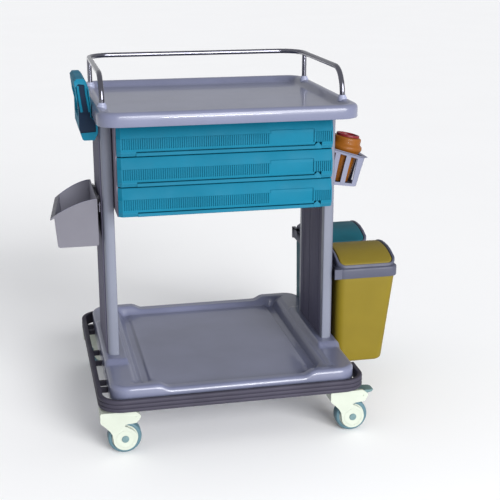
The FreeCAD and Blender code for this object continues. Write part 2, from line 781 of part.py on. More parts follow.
def make_bin_frame(drop):
    """The band round the bin's mouth, with a cheek at each end that carries the lid's pins.

    The hooks stand higher on the band by the distance that the bin hangs lower.
    """
    x1, x2, y1, y2 = bin_box()
    low, high = cell("bin_band_bottom").value, cell("bin_band_top").value
    corner, back = cell("bin_corner").value + 2, cell("bin_back_corner").value + 2
    rise = cell("bin_lid_top").value - high
    band = Part.Face(rounded_wire(x1, y1, x2, y2, corner, low, back)).extrude(
        FreeCAD.Vector(0, 0, high - low))
    skirt = Part.Face(rounded_wire(x1 + 2.9, y1 + 2.9, x2 - 2.9, y2 - 2.9, corner - 3, low - 1,
                                   back - 3))
    band = band.cut(skirt.extrude(FreeCAD.Vector(0, 0, high - 7 - low + 1)))
    span = (y2 - y1) / 2
    cheeks = [dome(x1 + 0.5, x1 + 11, span - 5, rise + 1, high),
              dome(x2 - 11, x2 - 0.5, span - 5, rise + 1, high)]
    mouth = Part.makeBox(x2 - x1 - 22, 2 * span - 10, 50,
                         FreeCAD.Vector(x1 + 11, y1 + 5, high - 8))
    pivot_y, pivot_z = [size.value for size in lid_centre()]
    hole = Part.makeCylinder(cell("lid_pin_radius").value + cell("running_gap").value, x2 - x1 + 2,
                             FreeCAD.Vector(x1 - 1, pivot_y, pivot_z), FreeCAD.Vector(1, 0, 0))
    made = document.addObject("Part::Feature", "bin_mouth")
    made.Shape = band.fuse(cheeks).cut(mouth).cut(hole).removeSplitter()
    start = cell("bin_band_bottom") - 2 + drop
    hooks = hook(1, cell("bin_front") + 52, start, cell("bin_inner") + 1)
    hooks += hook(1, cell("bin_front") + 150, start, cell("bin_inner") + 1)
    return fused(made, *hooks)


def make_bin_lid():
    """A hollow swinging dome with a pin at each end."""
    x1, x2, y1, y2 = bin_box()
    high = cell("bin_band_top").value
    rise = cell("bin_lid_top").value - high
    span = (y2 - y1) / 2
    corner = cell("lid_corner").value

    def rounded_dome(gap, top, sill):
        plan = rounded_wire(x1 + 5 + gap, y1 + gap, x2 - 5 - gap, y2 - gap, corner, sill - 20)
        solid = dome(x1 + 5 + gap, x2 - 5 - gap, span - gap, top, sill)
        return solid.common(Part.Face(plan).extrude(FreeCAD.Vector(0, 0, 90)))

    shell = rounded_dome(7.5, rise, high).cut(rounded_dome(10, rise - 2.5, high - 1))
    pivot_y, pivot_z = [size.value for size in lid_centre()]
    point = FreeCAD.Vector
    pins = [Part.makeCylinder(cell("lid_pin_radius").value, 11, point(x, pivot_y, pivot_z),
                              point(1, 0, 0)) for x in (x1 + 2, x2 - 13)]
    made = document.addObject("Part::Feature", "bin_dome")
    made.Shape = shell.fuse(pins).removeSplitter()
    return made


def make_bins():
    """Two bins on one bar; the rear one hangs lower and is shorter, to clear the caster."""
    lid = make_bin_lid()
    for name, foot, shift, drop in (
            ("yellow", cell("bin_bottom"), 0, 0),
            ("teal", cell("teal_bottom"), cell("bin_pitch"), cell("teal_drop"))):
        piece(make_bin_body(foot.value), f"{name}_bin_bucket", y=shift, z=-drop)
        piece(make_bin_frame(drop), f"{name}_bin_frame", y=shift, z=-drop)
        piece(grouped(lid), f"{name}_bin_lid", y=shift, z=-drop)


# ---- storage bin ------------------------------------------------------------------------------

def make_storage_bin():
    """An open hopper with sloping ends and a lip along its outer edge, narrower at the back."""
    inner, wall = cell("store_inner").value, cell("store_wall").value
    low = cell("store_bottom").value
    rim_out, rim_in = cell("store_rim_outer").value, cell("store_rim_inner").value
    front, back = cell("store_front").value, cell("store_back").value
    front_edge = cell("store_outer").value
    back_edge = front_edge + cell("store_taper").value

    def skin(edge):
        return [(inner, low), (inner, rim_in), (inner - 8, rim_in), (inner - 45, rim_in - 9),
                (edge, rim_out), (edge - 10, rim_out - 7), (edge - 8, rim_out - 9),
                (edge + 0.6, rim_out - 4), (edge + 5.7, low + 5), (edge + 11, low)]

    def hollow(edge):
        return [(inner - wall, low + wall), (inner - wall, rim_in + 1), (inner - 8, rim_in + 1),
                (edge + wall, rim_in + 1), (edge + wall, rim_out - 4),
                (edge + 6 + wall, low + wall)]

    def between(section, y_front, y_back):
        ends = []
        for y, edge in ((y_front, front_edge), (y_back, back_edge)):
            corners = [FreeCAD.Vector(x, y, z) for x, z in section(edge)]
            ends.append(Part.makePolygon(corners + corners[:1]))
        return tapered(*ends)

    made = document.addObject("Part::Feature", "storage_bin_shell")
    made.Shape = between(skin, front, back).cut(between(hollow, front + wall, back - wall))
    bar_low = cell("store_rim_inner") - 34
    face = cell("store_inner") - 1
    hooks = hook(-1, cell("store_front") + 40, bar_low, face)
    hooks += hook(-1, cell("store_back") - 66, bar_low, face)
    piece(fused(made, *hooks), "storage_bin")


# ---- sharps holder ----------------------------------------------------------------------------

def sloping_wire(x1, z1, x2, z2, half_depth, far, near):
    """A round-cornered rectangle in the plane that runs from (x1, z1) to (x2, z2)."""
    wire = rounded_wire(0, -half_depth, math.hypot(x2 - x1, z2 - z1), half_depth, far, 0, near)
    slope = -math.degrees(math.atan2(z2 - z1, x2 - x1))
    wire.Placement = FreeCAD.Placement(
        FreeCAD.Vector(x1, cell("sharps_y").value, z1),
        FreeCAD.Rotation(FreeCAD.Vector(0, 1, 0), slope))
    return wire


def make_sharps_basket():
    """A basket of upright slats: flat against the column, flaring outwards to a sloping rim."""
    inner, foot, reach = (cell(n).value for n in ("basket_inner", "basket_foot", "basket_reach"))
    low, rim = cell("basket_low").value, cell("basket_rim").value
    low_drop, rim_drop = cell("basket_low_drop").value, cell("basket_rim_drop").value
    half, wall = cell("basket_half_depth").value, cell("basket_wall").value
    y, slope = cell("sharps_y").value, rim_drop / (reach - inner)
    point = FreeCAD.Vector
    outer = tapered(
        sloping_wire(inner, low, foot, low - low_drop, half - 7, 20, 8),
        sloping_wire(inner, rim, reach, rim - rim_drop, half, 24, 8))
    hollow = tapered(
        sloping_wire(inner + wall, low + 2.8, foot - wall, low + 2.8 - low_drop, half - 7 - wall,
                     17.5, 5.5),
        sloping_wire(inner + wall, rim + 0.5 - wall * slope, reach - wall,
                     rim + 0.5 - rim_drop + wall * slope, half - wall, 21.5, 5.5))
    lip = tapered(
        sloping_wire(inner, rim - 3.5, reach + 0.5, rim - 3.5 - rim_drop, half + 0.3, 24, 8),
        sloping_wire(inner, rim, reach + 7, rim - rim_drop - 7 * slope, half + 4, 27, 8))
    shell = outer.fuse(lip).cut(hollow)
    middle = (low + rim) / 2
    lean = 10
    for x in (328, 356):
        start, end = low + 8 - 0.15 * (x - inner), rim - 15 - slope * (x - inner)
        window = Part.makeBox(16, 4 * half, end - start, point(-8, -2 * half, 0))
        window.Placement = FreeCAD.Placement(
            point(x - (middle - start) * math.tan(math.radians(lean)), y, start),
            FreeCAD.Rotation(point(0, 1, 0), lean))
        shell = shell.cut(window)
    for shift in (-25, 0, 25):
        shell = shell.cut(Part.makeBox(reach - inner, 13, 44, point(350, y + shift - 6.5, low + 4)))
    made = document.addObject("Part::Feature", "sharps_basket_shell")
    made.Shape = shell.removeSplitter()
    piece(made, "sharps_basket")


def make_sharps_bracket():
    """A plate between the column and the basket's flat wall."""
    y, low = cell("sharps_y"), cell("basket_low")
    plate = block((cell("column_outer"), y - 18, low + 16), (cell("basket_inner"), y + 18, low + 72))
    piece(grouped(plate), "sharps_bracket")


def tilted(shape, name, label):
    """Stand a part of the sharps container on the basket's floor, leaning outwards."""
    made = document.addObject("Part::Feature", name)
    made.Shape = shape
    turned(made, FreeCAD.Vector(0, 1, 0), cell("sharps_tilt").value)
    piece(made, label, x=cell("sharps_x"), y=cell("sharps_y"), z=cell("sharps_z"))


def revolved(profile):
    """A solid of revolution about the upright axis through the drawing's centre."""
    points = [FreeCAD.Vector(radius, 0, height) for radius, height in profile]
    face = Part.Face(Part.makePolygon(points + points[:1]))
    return face.revolve(FreeCAD.Vector(), FreeCAD.Vector(0, 0, 1), 360)


def make_sharps_container():
    """A round tub with a bulged shoulder and a neck, and a turning lid with an off-centre mouth."""
    radius = cell("sharps_radius").value
    tub = revolved([
        (0, 0), (radius - 19, 0), (radius - 17, 2), (radius - 7.5, 76), (radius, 87),
        (radius, 94), (radius - 6.5, 101), (radius - 6.5, 114), (radius - 8, 116.5),
        (radius - 14, 118), (radius - 15.5, 118), (radius - 15.5, 114.5), (radius - 10, 113),
        (radius - 10, 100.5), (radius - 2.8, 93), (radius - 2.8, 88), (radius - 10.3, 76.5),
        (radius - 19.6, 3), (0, 3)])
    tilted(tub, "sharps_tub", "sharps_container")
    plug = radius - 16.5
    cap = revolved([
        (0, 118.5), (plug, 118.5), (plug, 111), (plug - 2.5, 111), (plug - 2.5, 115), (0, 115)])
    rim = revolved([
        (plug - 5, 117.5), (plug, 117.5), (plug, 118.4), (plug + 3.5, 118.4), (plug + 3, 124),
        (plug - 4, 124)])
    mouth = Part.makeCylinder(13, 20, FreeCAD.Vector(-8, 0, 106))
    tilted(cap.fuse(rim).cut(mouth).removeSplitter(), "sharps_lid_disc", "sharps_lid")


# ---- casters ----------------------------------------------------------------------------------

def caster_places():
    x = cell("caster_x")
    return [(-x, cell("caster_front")), (x, cell("caster_front")),
            (-x, cell("caster_rear")), (x, cell("caster_rear"))]


CASTER_NAMES = ("front_left", "front_right", "rear_left", "rear_right")
BRAKED = ("front_right", "rear_left")


def make_caster_stems():
    """A flanged stem under each corner of the base."""
    top, fork, radius = cell("base_bottom"), cell("fork_top"), cell("stem_radius")
    stems = []
    for x, y in caster_places():
        shaft = rod((x, y, fork - 22), "Z", radius, top - fork + 22 + 24)
        flange = block((x - 18, y - 18, top - 3), (x + 18, y + 18, top))
        washer = rod((x, y, fork + 0.3), "Z", 14, top - fork - 3)
        stems.append(fused(shaft, flange, washer))
    piece(grouped(*stems), "caster_stems")


def fork_outline():
    """The hood's side: a straight back, a lobe round the axle and a horn over the wheel."""
    top, axle, back = cell("fork_top"), cell("axle_trail"), cell("fork_back")
    height = cell("wheel_radius")
    lobe = 29
    points = [(back, top), (back, top - 25), (back + 14, top - 37), (back + 24, top - 49)]
    for angle in range(190, 410, 20):
        turn = math.radians(angle)
        points.append((axle + lobe * math.cos(turn), height + lobe * math.sin(turn)))
    points += [(axle + 12, height + 30), (axle + 2, height + 34), (axle + 3, height + 38),
               (axle + 12, height + 42), (axle + 27, height + 43), (axle + 35, height + 49),
               (axle + 39, height + 56), (axle + 36, height + 63), (axle + 26, top - 2),
               (axle + 16, top)]
    return points


def make_fork(braked):
    half, axle, height = cell("fork_half_width"), cell("axle_trail"), cell("wheel_radius")
    width, gap = cell("wheel_width"), cell("running_gap")
    body = new_body("caster_fork_body")
    pad(body, "XZ", fork_outline(), -half, half)
    back = cell("fork_back")
    soften(body, 16, lambda e: along(e, "z") and at(e, x=back.value))
    cheek = width / 2 + 1.5
    well = rod((axle, -cheek, height), "Y", height + 2.5, cheek * 2)
    front = block((axle, -cheek, 0), (axle + 60, cheek, height + 20))
    bore = rod((0, 0, cell("fork_top") - 23), "Z", cell("stem_radius") + gap, 30)
    axle_hole = rod((axle, -half - 1, height), "Y", cell("axle_radius"), half * 2 + 2)
    tools = [well, front, bore, axle_hole]
    if braked:
        tools.append(block((axle + 15, -cheek, cell("fork_top") - 27),
                           (axle + 60, cheek, cell("fork_top") + 1)))
        tools.append(rod((axle + 25, -half + 2, pedal_height()), "Y", 1.5, 2 * half - 4))
    return cut(body, *tools)


def pedal_height():
    return cell("fork_top") - 14


def make_pedal():
    """A foot pedal on a cross pin between the horn's two ears."""
    axle, half = cell("axle_trail"), cell("fork_half_width")
    cheek = cell("wheel_width") / 2 + 1.1
    body = new_body("brake_pedal_body")
    mid = pedal_height()
    outline = [(axle + 20, mid - 4), (axle + 27, mid - 4.5), (axle + 40, mid + 1),
               (axle + 56, mid + 3), (axle + 58, mid + 6), (axle + 55, mid + 9),
               (axle + 36, mid + 10), (axle + 24, mid + 5), (axle + 20, mid + 3)]
    pad(body, "XZ", outline, -cheek, cheek)
    pin = rod((axle + 25, 2.05 - half, mid), "Y", 1.44, 2 * half - 4.1)
    return fused(body, pin)


def make_wheel():
    axle, height, width = cell("axle_trail"), cell("wheel_radius"), cell("wheel_width")
    bore = cell("axle_radius") + cell("running_gap")
    core = cut(rod((axle, -width / 2, height), "Y", height - 9, width),
               rod((axle, -width / 2 - 1, height), "Y", bore, width + 2))
    radius, half = height.value, width.value / 2
    ring = [(radius - 9, -half + 1), (radius - 5, -half), (radius - 1.5, -half + 2.5),
            (radius, -half + 6), (radius, -2), (radius - 3, -1), (radius - 3, 1), (radius, 2),
            (radius, half - 6), (radius - 1.5, half - 2.5), (radius - 5, half),
            (radius - 9, half - 1)]
    points = [FreeCAD.Vector(axle.value + r, y, radius) for r, y in ring]
    face = Part.Face(Part.makePolygon(points + points[:1]))
    centre = FreeCAD.Vector(axle.value, 0, radius)
    tyre = document.addObject("Part::Feature", "tyre_ring")
    tyre.Shape = face.revolve(centre, FreeCAD.Vector(0, 1, 0), 360)
    return core, tyre


def make_axle():
    """The axle pin, with a cap over each end."""
    axle, height, half = cell("axle_trail"), cell("wheel_radius"), cell("fork_half_width")
    pin = rod((axle, -half, height), "Y", cell("axle_radius"), 2 * half)
    caps = [rod((axle, -half - 2, height), "Y", 9, 2), rod((axle, half, height), "Y", 9, 2)]
    return grouped(pin, *caps)


def make_casters():
    make_caster_stems()
    forks = {braked: make_fork(braked) for braked in (False, True)}
    pedal, axle = make_pedal(), make_axle()
    core, tyre = make_wheel()
    for name, (x, y) in zip(CASTER_NAMES, caster_places()):
        braked = name in BRAKED
        piece(grouped(forks[braked]), f"caster_{name}_fork", x, y)
        piece(grouped(axle), f"caster_{name}_axle", x, y)
        piece(grouped(core), f"caster_{name}_wheel", x, y)
        piece(grouped(tyre), f"caster_{name}_tyre", x, y)
        if braked:
            piece(grouped(pedal), f"caster_{name}_pedal", x, y)


# ---- the cart ---------------------------------------------------------------------------------

make_top_tray()
make_rail_sockets()
make_guard_rail()
make_columns()
make_column_covers()
make_column_bolts()
make_cabinet()
make_cabinet_screws()
make_runners()
for drawer_number in (1, 2, 3):
    make_drawer(drawer_number)
make_base_tray()
make_bumper()
make_bumper_brackets()
make_handle()
make_handle_screws()
make_bars()
make_bins()
make_storage_bin()
make_sharps_basket()
make_sharps_bracket()
make_sharps_container()
make_casters()
document.recompute()

for thing in document.Objects:
    if "Invalid" in thing.State or "Error" in thing.State:
        raise ValueError(f"{thing.Label} failed: {thing.State}")
for sub_part in pieces:
    if sub_part.Shape.isNull() or not sub_part.Shape.isValid() or not sub_part.Shape.Solids:
        raise ValueError(f"{sub_part.Label} has no valid solid")

os.makedirs("parts", exist_ok=True)
for sub_part in pieces:
    sub_part.Shape.exportStep(f"parts/{sub_part.Label}.step")
    print(sub_part.Label, len(sub_part.Shape.Solids), round(sub_part.Shape.Volume / 1000, 1))
print(len(pieces), "sub-parts")
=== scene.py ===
import json
import math

import bmesh
import bpy
from mathutils import Euler, Matrix, Vector


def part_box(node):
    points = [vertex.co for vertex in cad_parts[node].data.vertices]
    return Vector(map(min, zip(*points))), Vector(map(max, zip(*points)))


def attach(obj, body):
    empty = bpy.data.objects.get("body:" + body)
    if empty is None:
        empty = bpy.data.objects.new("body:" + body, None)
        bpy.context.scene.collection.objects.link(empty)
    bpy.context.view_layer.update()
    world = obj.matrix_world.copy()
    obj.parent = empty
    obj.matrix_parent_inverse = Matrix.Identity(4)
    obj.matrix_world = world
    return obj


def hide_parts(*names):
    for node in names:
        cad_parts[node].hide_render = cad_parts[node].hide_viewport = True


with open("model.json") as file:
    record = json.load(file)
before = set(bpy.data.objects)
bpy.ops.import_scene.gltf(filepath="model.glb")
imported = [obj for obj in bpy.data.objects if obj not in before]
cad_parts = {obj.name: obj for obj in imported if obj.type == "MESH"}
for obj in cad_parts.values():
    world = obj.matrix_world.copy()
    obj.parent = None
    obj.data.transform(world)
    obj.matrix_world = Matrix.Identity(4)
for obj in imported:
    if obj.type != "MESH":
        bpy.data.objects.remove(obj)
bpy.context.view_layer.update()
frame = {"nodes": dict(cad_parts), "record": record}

# Shapes are drawn in millimetres about the middle of the top tray, and moved into the frame.
# The cart's front looks towards -Y, and the waste bins hang on its +X side.
MM = 0.001
CREASE = 32  # degrees; a sharper edge than this shows as an edge
TRAY_LOW, TRAY_HIGH = (Vector(corner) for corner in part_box("top_tray"))
CENTRE = Vector(((TRAY_LOW.x + TRAY_HIGH.x) / 2, (TRAY_LOW.y + TRAY_HIGH.y) / 2, 0))
TO_FRAME = Matrix.Translation(CENTRE) @ Matrix.Diagonal((MM, MM, MM, 1))


def limits(node):
    """A node's lowest and highest corners, in millimetres about the tray's middle."""
    low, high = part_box(node)
    return (Vector(low) - CENTRE) / MM, (Vector(high) - CENTRE) / MM


# ---- materials ----

GRAIN_DEPTH = 0.0004  # metres
COAT_ROUGHNESS = 0.08


def shader(name):
    """A new node material, with the parts of its tree and its Principled shader."""
    material = bpy.data.materials.new(name)
    material.use_nodes = True
    nodes, links = material.node_tree.nodes, material.node_tree.links
    return material, nodes, links, nodes["Principled BSDF"]


def noise(nodes, links, scale, detail, stretch=(1, 1, 1)):
    """A noise value over the object's own coordinates; scale is in cycles per metre."""
    place = nodes.new("ShaderNodeTexCoord")
    mapping = nodes.new("ShaderNodeMapping")
    mapping.inputs["Scale"].default_value = stretch
    texture = nodes.new("ShaderNodeTexNoise")
    texture.inputs["Scale"].default_value = scale
    texture.inputs["Detail"].default_value = detail
    links.new(place.outputs["Object"], mapping.inputs["Vector"])
    links.new(mapping.outputs["Vector"], texture.inputs["Vector"])
    return texture.outputs["Fac"]


def spread(nodes, links, source, low, high, start=0.3, stop=0.7):
    """Bring a value that runs from start to stop to one that runs from low to high."""
    ranged = nodes.new("ShaderNodeMapRange")
    for socket, number in (("From Min", start), ("From Max", stop),
                           ("To Min", low), ("To Max", high)):
        ranged.inputs[socket].default_value = number
    links.new(source, ranged.inputs["Value"])
    return ranged.outputs["Result"]


def blend_colours(nodes, links, amount, first, second):
    """Mix two colours by an amount that runs from 0 to 1."""
    mix = nodes.new("ShaderNodeMix")
    mix.data_type = "RGBA"
    links.new(amount, mix.inputs["Factor"])
    mix.inputs["A"].default_value = (*first, 1)
    mix.inputs["B"].default_value = (*second, 1)
    return mix.outputs["Result"]


def shade(colour, factor):
    """A colour made lighter or darker by a factor."""
    return tuple(min(1.0, channel * factor) for channel in colour)


def plastic(name, colour, rough=0.35, grain=0.12, grain_scale=900, mottle=0.07, coat=0.0,
            metallic=0.0, stretch=(1, 1, 1), scuff=0.5, gloss=0.4):
    """Moulded plastic, rubber or metal: clouded colour, sharp edges made lighter, fine grain and
    scuffs.

    mottle is the clouds' strength, scuff the unevenness of the shine, and stretch draws the
    grain and the scuffs out along an axis where it is small against the other two.
    """
    material, nodes, links, bsdf = shader(name)
    cloud = spread(nodes, links, noise(nodes, links, 7, 5), 0, 1, 0.35, 0.65)
    body = blend_colours(nodes, links, cloud, shade(colour, 1 - mottle), shade(colour, 1 + mottle))
    # The colour is made lighter on sharp convex edges, found by pointiness.
    edge = nodes.new("ShaderNodeNewGeometry")
    lighter_edges = spread(nodes, links, edge.outputs["Pointiness"], 0, 0.35, 0.52, 0.62)
    lift = nodes.new("ShaderNodeMix")
    lift.data_type = "RGBA"
    links.new(lighter_edges, lift.inputs["Factor"])
    links.new(body, lift.inputs["A"])
    edge_colour = [min(1.0, channel * 1.25 + 0.03) for channel in colour]
    lift.inputs["B"].default_value = (*edge_colour, 1)
    links.new(lift.outputs["Result"], bsdf.inputs["Base Color"])
    scuffs = noise(nodes, links, 22, 3, stretch)
    smoothest, roughest = rough * (1 - 0.2 * scuff), rough * (1 + 0.25 * scuff)
    links.new(spread(nodes, links, scuffs, smoothest, roughest), bsdf.inputs["Roughness"])
    bump = nodes.new("ShaderNodeBump")
    bump.inputs["Strength"].default_value = grain
    bump.inputs["Distance"].default_value = GRAIN_DEPTH
    links.new(noise(nodes, links, grain_scale, 3, stretch), bump.inputs["Height"])
    links.new(bump.outputs["Normal"], bsdf.inputs["Normal"])
    bsdf.inputs["Metallic"].default_value = metallic
    bsdf.inputs["Specular IOR Level"].default_value = gloss
    bsdf.inputs["Coat Weight"].default_value = coat
    bsdf.inputs["Coat Roughness"].default_value = COAT_ROUGHNESS
    return material


# One material to each slot of the record.
MATERIALS = {
    "abs_lavender": plastic("moulded_lavender", (0.122, 0.132, 0.202), 0.32, 0.06,
                            coat=0.35, scuff=0.1),
    "socket_grey": plastic("socket_lavender", (0.26, 0.28, 0.39), 0.4),
    "rail_chrome": plastic("bright_tube", (0.15, 0.15, 0.18), 0.16, 0.05, 300, 0.10,
                           metallic=1.0, stretch=(1, 1, 8)),
    "aluminium_dark": plastic("dark_extrusion", (0.076, 0.073, 0.114), 0.6, 0.10, 500, 0.12,
                              stretch=(12, 12, 0.6), gloss=0.08),
    "column_cover": plastic("cover_lavender", (0.125, 0.136, 0.178), 0.42, 0.12, coat=0.1),
    "steel_fastener": plastic("zinc_steel", (0.075, 0.073, 0.095), 0.40, 0.2, 700, 0.12,
                              metallic=1.0),
    "cabinet_dark": plastic("powder_coat", (0.150, 0.136, 0.180), 0.6, 0.5, 1100, 0.10,
                            gloss=0.15),
    "bumper_rubber": plastic("bumper_rubber", (0.036, 0.033, 0.050), 0.6, 0.4, 700, 0.16,
                             gloss=0.2),
    "teal_plastic": plastic("glossy_teal", (0.0005, 0.118, 0.195), 0.55, 0.10, gloss=0.1),
    "drawer_inner": plastic("drawer_grey", (0.40, 0.41, 0.45), 0.5, 0.2),
    "bin_yellow": plastic("yellow_plastic", (0.160, 0.118, 0.005), 0.55, 0.35, 700, 0.06,
                          gloss=0.25),
    "bin_yellow_lid": plastic("yellow_lid_plastic", (0.158, 0.118, 0.012), 0.6, 0.6, 500, 0.08,
                              gloss=0.2),
    "bin_teal": plastic("teal_bin_plastic", (0.003, 0.072, 0.100), 0.55, 0.5, 600, 0.12,
                        gloss=0.2),
    "bin_frame_grey": plastic("bin_frame_plastic", (0.056, 0.060, 0.092), 0.5, 0.25, gloss=0.3),
    "storage_grey": plastic("storage_plastic", (0.118, 0.116, 0.140), 0.5, 0.3, 800, gloss=0.3),
    "basket_lavender": plastic("basket_plastic", (0.17, 0.18, 0.25), 0.45, 0.15, gloss=0.3),
    "sharps_orange": plastic("orange_plastic", (0.190, 0.060, 0.003), 0.5, 0.15,
                             coat=0.08, gloss=0.2),
    "sharps_red": plastic("red_plastic", (0.14, 0.007, 0.012), 0.45, 0.2, coat=0.08, gloss=0.2),
    "caster_cream": plastic("cream_plastic", (0.400, 0.432, 0.372), 0.38, 0.12,
                            coat=0.15, gloss=0.3),
    "caster_tyre": plastic("tyre_polyurethane", (0.060, 0.125, 0.155), 0.45, 0.3, 500, 0.15),
    "pedal_grey": plastic("pedal_plastic", (0.100, 0.170, 0.180), 0.45, 0.25),
}
# The insides of cuts have materials of their own, which paint light and shade into them.
# Navy painted shade that lines the handle's recess.
RECESS_SHADE_NAVY = plastic("handle_shadow_navy", (0.004, 0.014, 0.034), 0.6, 0.2, gloss=0.12)
# A lighter grey than storage_grey: painted light on the hopper's inside walls.
HOPPER_PAINTED_LIGHT = plastic("storage_inside_painted_light", (0.250, 0.248, 0.300), 0.5, 0.3, 800, gloss=0.3)
# Near black painted shade that lines the cuts inside the caster hoods.
HOOD_PAINTED_SHADE = plastic("hood_painted_shade", (0.020, 0.018, 0.026), 0.6, 0.2)


# ---- mesh building ----

def as_object(name, shape):
    """Put a bmesh into the scene as an object, and free it."""
    mesh = bpy.data.meshes.new(name)
    shape.to_mesh(mesh)
    shape.free()
    made = bpy.data.objects.new(name, mesh)
    bpy.context.scene.collection.objects.link(made)
    return made


def round_edges(made, width, angle):
    """Round the edges that are sharper than an angle in degrees, by a width in millimetres."""
    rounding = made.modifiers.new("edges", "BEVEL")
    rounding.width = width * MM
    rounding.segments = 3
    rounding.limit_method = "ANGLE"
    rounding.angle_limit = math.radians(angle)
    rounding.harden_normals = True


def add(name, shape, slot, body, replaced=(), angle=CREASE, bevel=0.0, extra=(), where=Matrix()):
    """Turn a bmesh in millimetres into a finished piece that rides on a body.

    replaced names the CAD nodes that it stands for, and extra holds further materials for cuts.
    """
    bmesh.ops.remove_doubles(shape, verts=shape.verts, dist=0.002)
    bmesh.ops.recalc_face_normals(shape, faces=shape.faces)
    shape.transform(TO_FRAME @ where)
    for face in shape.faces:
        face.smooth = True
    for edge in shape.edges:
        if len(edge.link_faces) == 2 and edge.calc_face_angle(0) > math.radians(angle):
            edge.smooth = False
    made = as_object(name, shape)
    for material in (MATERIALS[slot], *extra):
        made.data.materials.append(material)
    if bevel:
        round_edges(made, bevel, angle)
    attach(made, body)
    if replaced:
        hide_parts(*replaced)
    return made


def loft(shape, rings, cap_first=True, cap_last=True):
    """Skin closed rings of equal count, one after another, and close the ends."""
    rows = [[shape.verts.new(point) for point in ring] for ring in rings]
    for row, following in zip(rows, rows[1:]):
        count = len(row)
        for index in range(count):
            after = (index + 1) % count
            shape.faces.new((row[index], row[after], following[after], following[index]))
    if cap_first:
        shape.faces.new(rows[0][::-1])
    if cap_last:
        shape.faces.new(rows[-1])


def prism(shape, outline, axis, low, high):
    """An outline drawn in the two other axes, in their order, carried along an axis."""
    def place(u, v, along):
        return {"X": (along, u, v), "Y": (u, along, v), "Z": (u, v, along)}[axis]
    loft(shape, [[place(u, v, along) for u, v in outline] for along in (low, high)])


def block(shape, low, high):
    """A box between two corners."""
    outline = [(low[0], low[1]), (high[0], low[1]), (high[0], high[1]), (low[0], high[1])]
    prism(shape, outline, "Z", low[2], high[2])


def arc(centre, radius, start, stop, steps):
    """Points on an arc, in degrees, both ends included."""
    turns = [math.radians(start + (stop - start) * step / steps) for step in range(steps + 1)]
    return [(centre[0] + radius * math.cos(turn), centre[1] + radius * math.sin(turn))
            for turn in turns]


def rounded(low, high, radius, steps, side, back=None):
    """A rectangle with round corners, of steps faces to a corner and side faces to a side.

    back is the radius of the corner at low x and high y, where it differs.
    """
    x1, y1, x2, y2 = *low, *high
    last = radius if back is None else back
    corners = [((x2 - radius, y1 + radius), radius, -90), ((x2 - radius, y2 - radius), radius, 0),
               ((x1 + last, y2 - last), last, 90), ((x1 + radius, y1 + radius), radius, 180)]
    points = []
    for index, (centre, bend_radius, start) in enumerate(corners):
        bend = arc(centre, bend_radius, start, start + 90, steps)
        following, next_radius, turn = corners[(index + 1) % 4]
        target = arc(following, next_radius, turn, turn + 90, steps)[0]
        points += bend
        for step in range(1, side):
            share = step / side
            points.append((bend[-1][0] + (target[0] - bend[-1][0]) * share,
                           bend[-1][1] + (target[1] - bend[-1][1]) * share))
    return points


def lathe(shape, profile, centre, axis, steps):
    """Turn a profile of (radius, place along the axis) pairs about an axis."""
    def place(radius, turn, along):
        a, b = radius * math.cos(turn), radius * math.sin(turn)
        spot = {"Z": (a, b, along), "Y": (a, along, b), "X": (along, a, b)}[axis]
        return Vector(spot) + Vector(centre)
    rings = []
    for radius, along in profile:
        rings.append([place(max(radius, 0.01), math.tau * step / steps, along)
                      for step in range(steps)])
    loft(shape, rings)


def both_ways(half):
    """A lathe profile drawn from its middle outwards, with its mirror image on the other side."""
    return [(radius, -along) for radius, along in half] + half[::-1]


def sweep(shape, path, section):
    """Carry a section of (outward, up) pairs along a path that bends only in plan."""
    rings = []
    for index, spot in enumerate(path):
        before = path[max(index - 1, 0)]
        after = path[min(index + 1, len(path) - 1)]
        run = (Vector(after) - Vector(before)).normalized()
        outward = Vector((run.y, -run.x))
        rings.append([(spot[0] + outward.x * out, spot[1] + outward.y * out, up)
                      for out, up in section])
    loft(shape, rings)


def tube(shape, path, radius, steps):
    """A round tube along a path of 3-D points, closed at both ends."""
    points = [Vector(spot) for spot in path]
    rings = []
    side = None
    for index, spot in enumerate(points):
        before = points[max(index - 1, 0)]
        after = points[min(index + 1, len(points) - 1)]
        run = (after - before).normalized()
        if side is None:
            side = run.orthogonal().normalized()
        side = (side - run * side.dot(run)).normalized()
        other = run.cross(side)
        rings.append([spot + (side * math.cos(turn) + other * math.sin(turn)) * radius
                      for turn in (math.tau * step / steps for step in range(steps))])
    loft(shape, rings)


def without(made, *tools):
    """Cut the tools out of a finished piece, and delete them."""
    for tool in tools:
        cut = made.modifiers.new("cut", "BOOLEAN")
        cut.operation = "DIFFERENCE"
        cut.solver = "EXACT"
        cut.object = tool
    bpy.context.view_layer.update()
    evaluated = made.evaluated_get(bpy.context.evaluated_depsgraph_get())
    mesh = bpy.data.meshes.new_from_object(evaluated)
    made.modifiers.clear()
    old = made.data
    made.data = mesh
    bpy.data.meshes.remove(old)
    for tool in tools:
        bpy.data.objects.remove(tool, do_unlink=True)


def cutter(shape, material):
    """A bmesh in millimetres as a loose object to cut with, whose material lines the cut."""
    bmesh.ops.recalc_face_normals(shape, faces=shape.faces)
    shape.transform(TO_FRAME)
    made = as_object("cutter", shape)
    made.data.materials.append(material)
    return made


def resharpen(made, bevel):
    """Smooth a cut piece again and round its edges slightly."""
    shape = bmesh.new()
    shape.from_mesh(made.data)
    bmesh.ops.remove_doubles(shape, verts=shape.verts, dist=0.00001)
    for face in shape.faces:
        face.smooth = True
    for edge in shape.edges:
        edge.smooth = not (len(edge.link_faces) == 2
                           and edge.calc_face_angle(0) > math.radians(CREASE))
    shape.to_mesh(made.data)
    shape.free()
    round_edges(made, bevel, CREASE)


def step_up(value, start, stop):
    """0 before start, 1 after stop, and a smooth ramp between them."""
    share = min(1.0, max(0.0, (value - start) / (stop - start)))
    return share * share * (3 - 2 * share)


# ---- top tray and guard rail ----

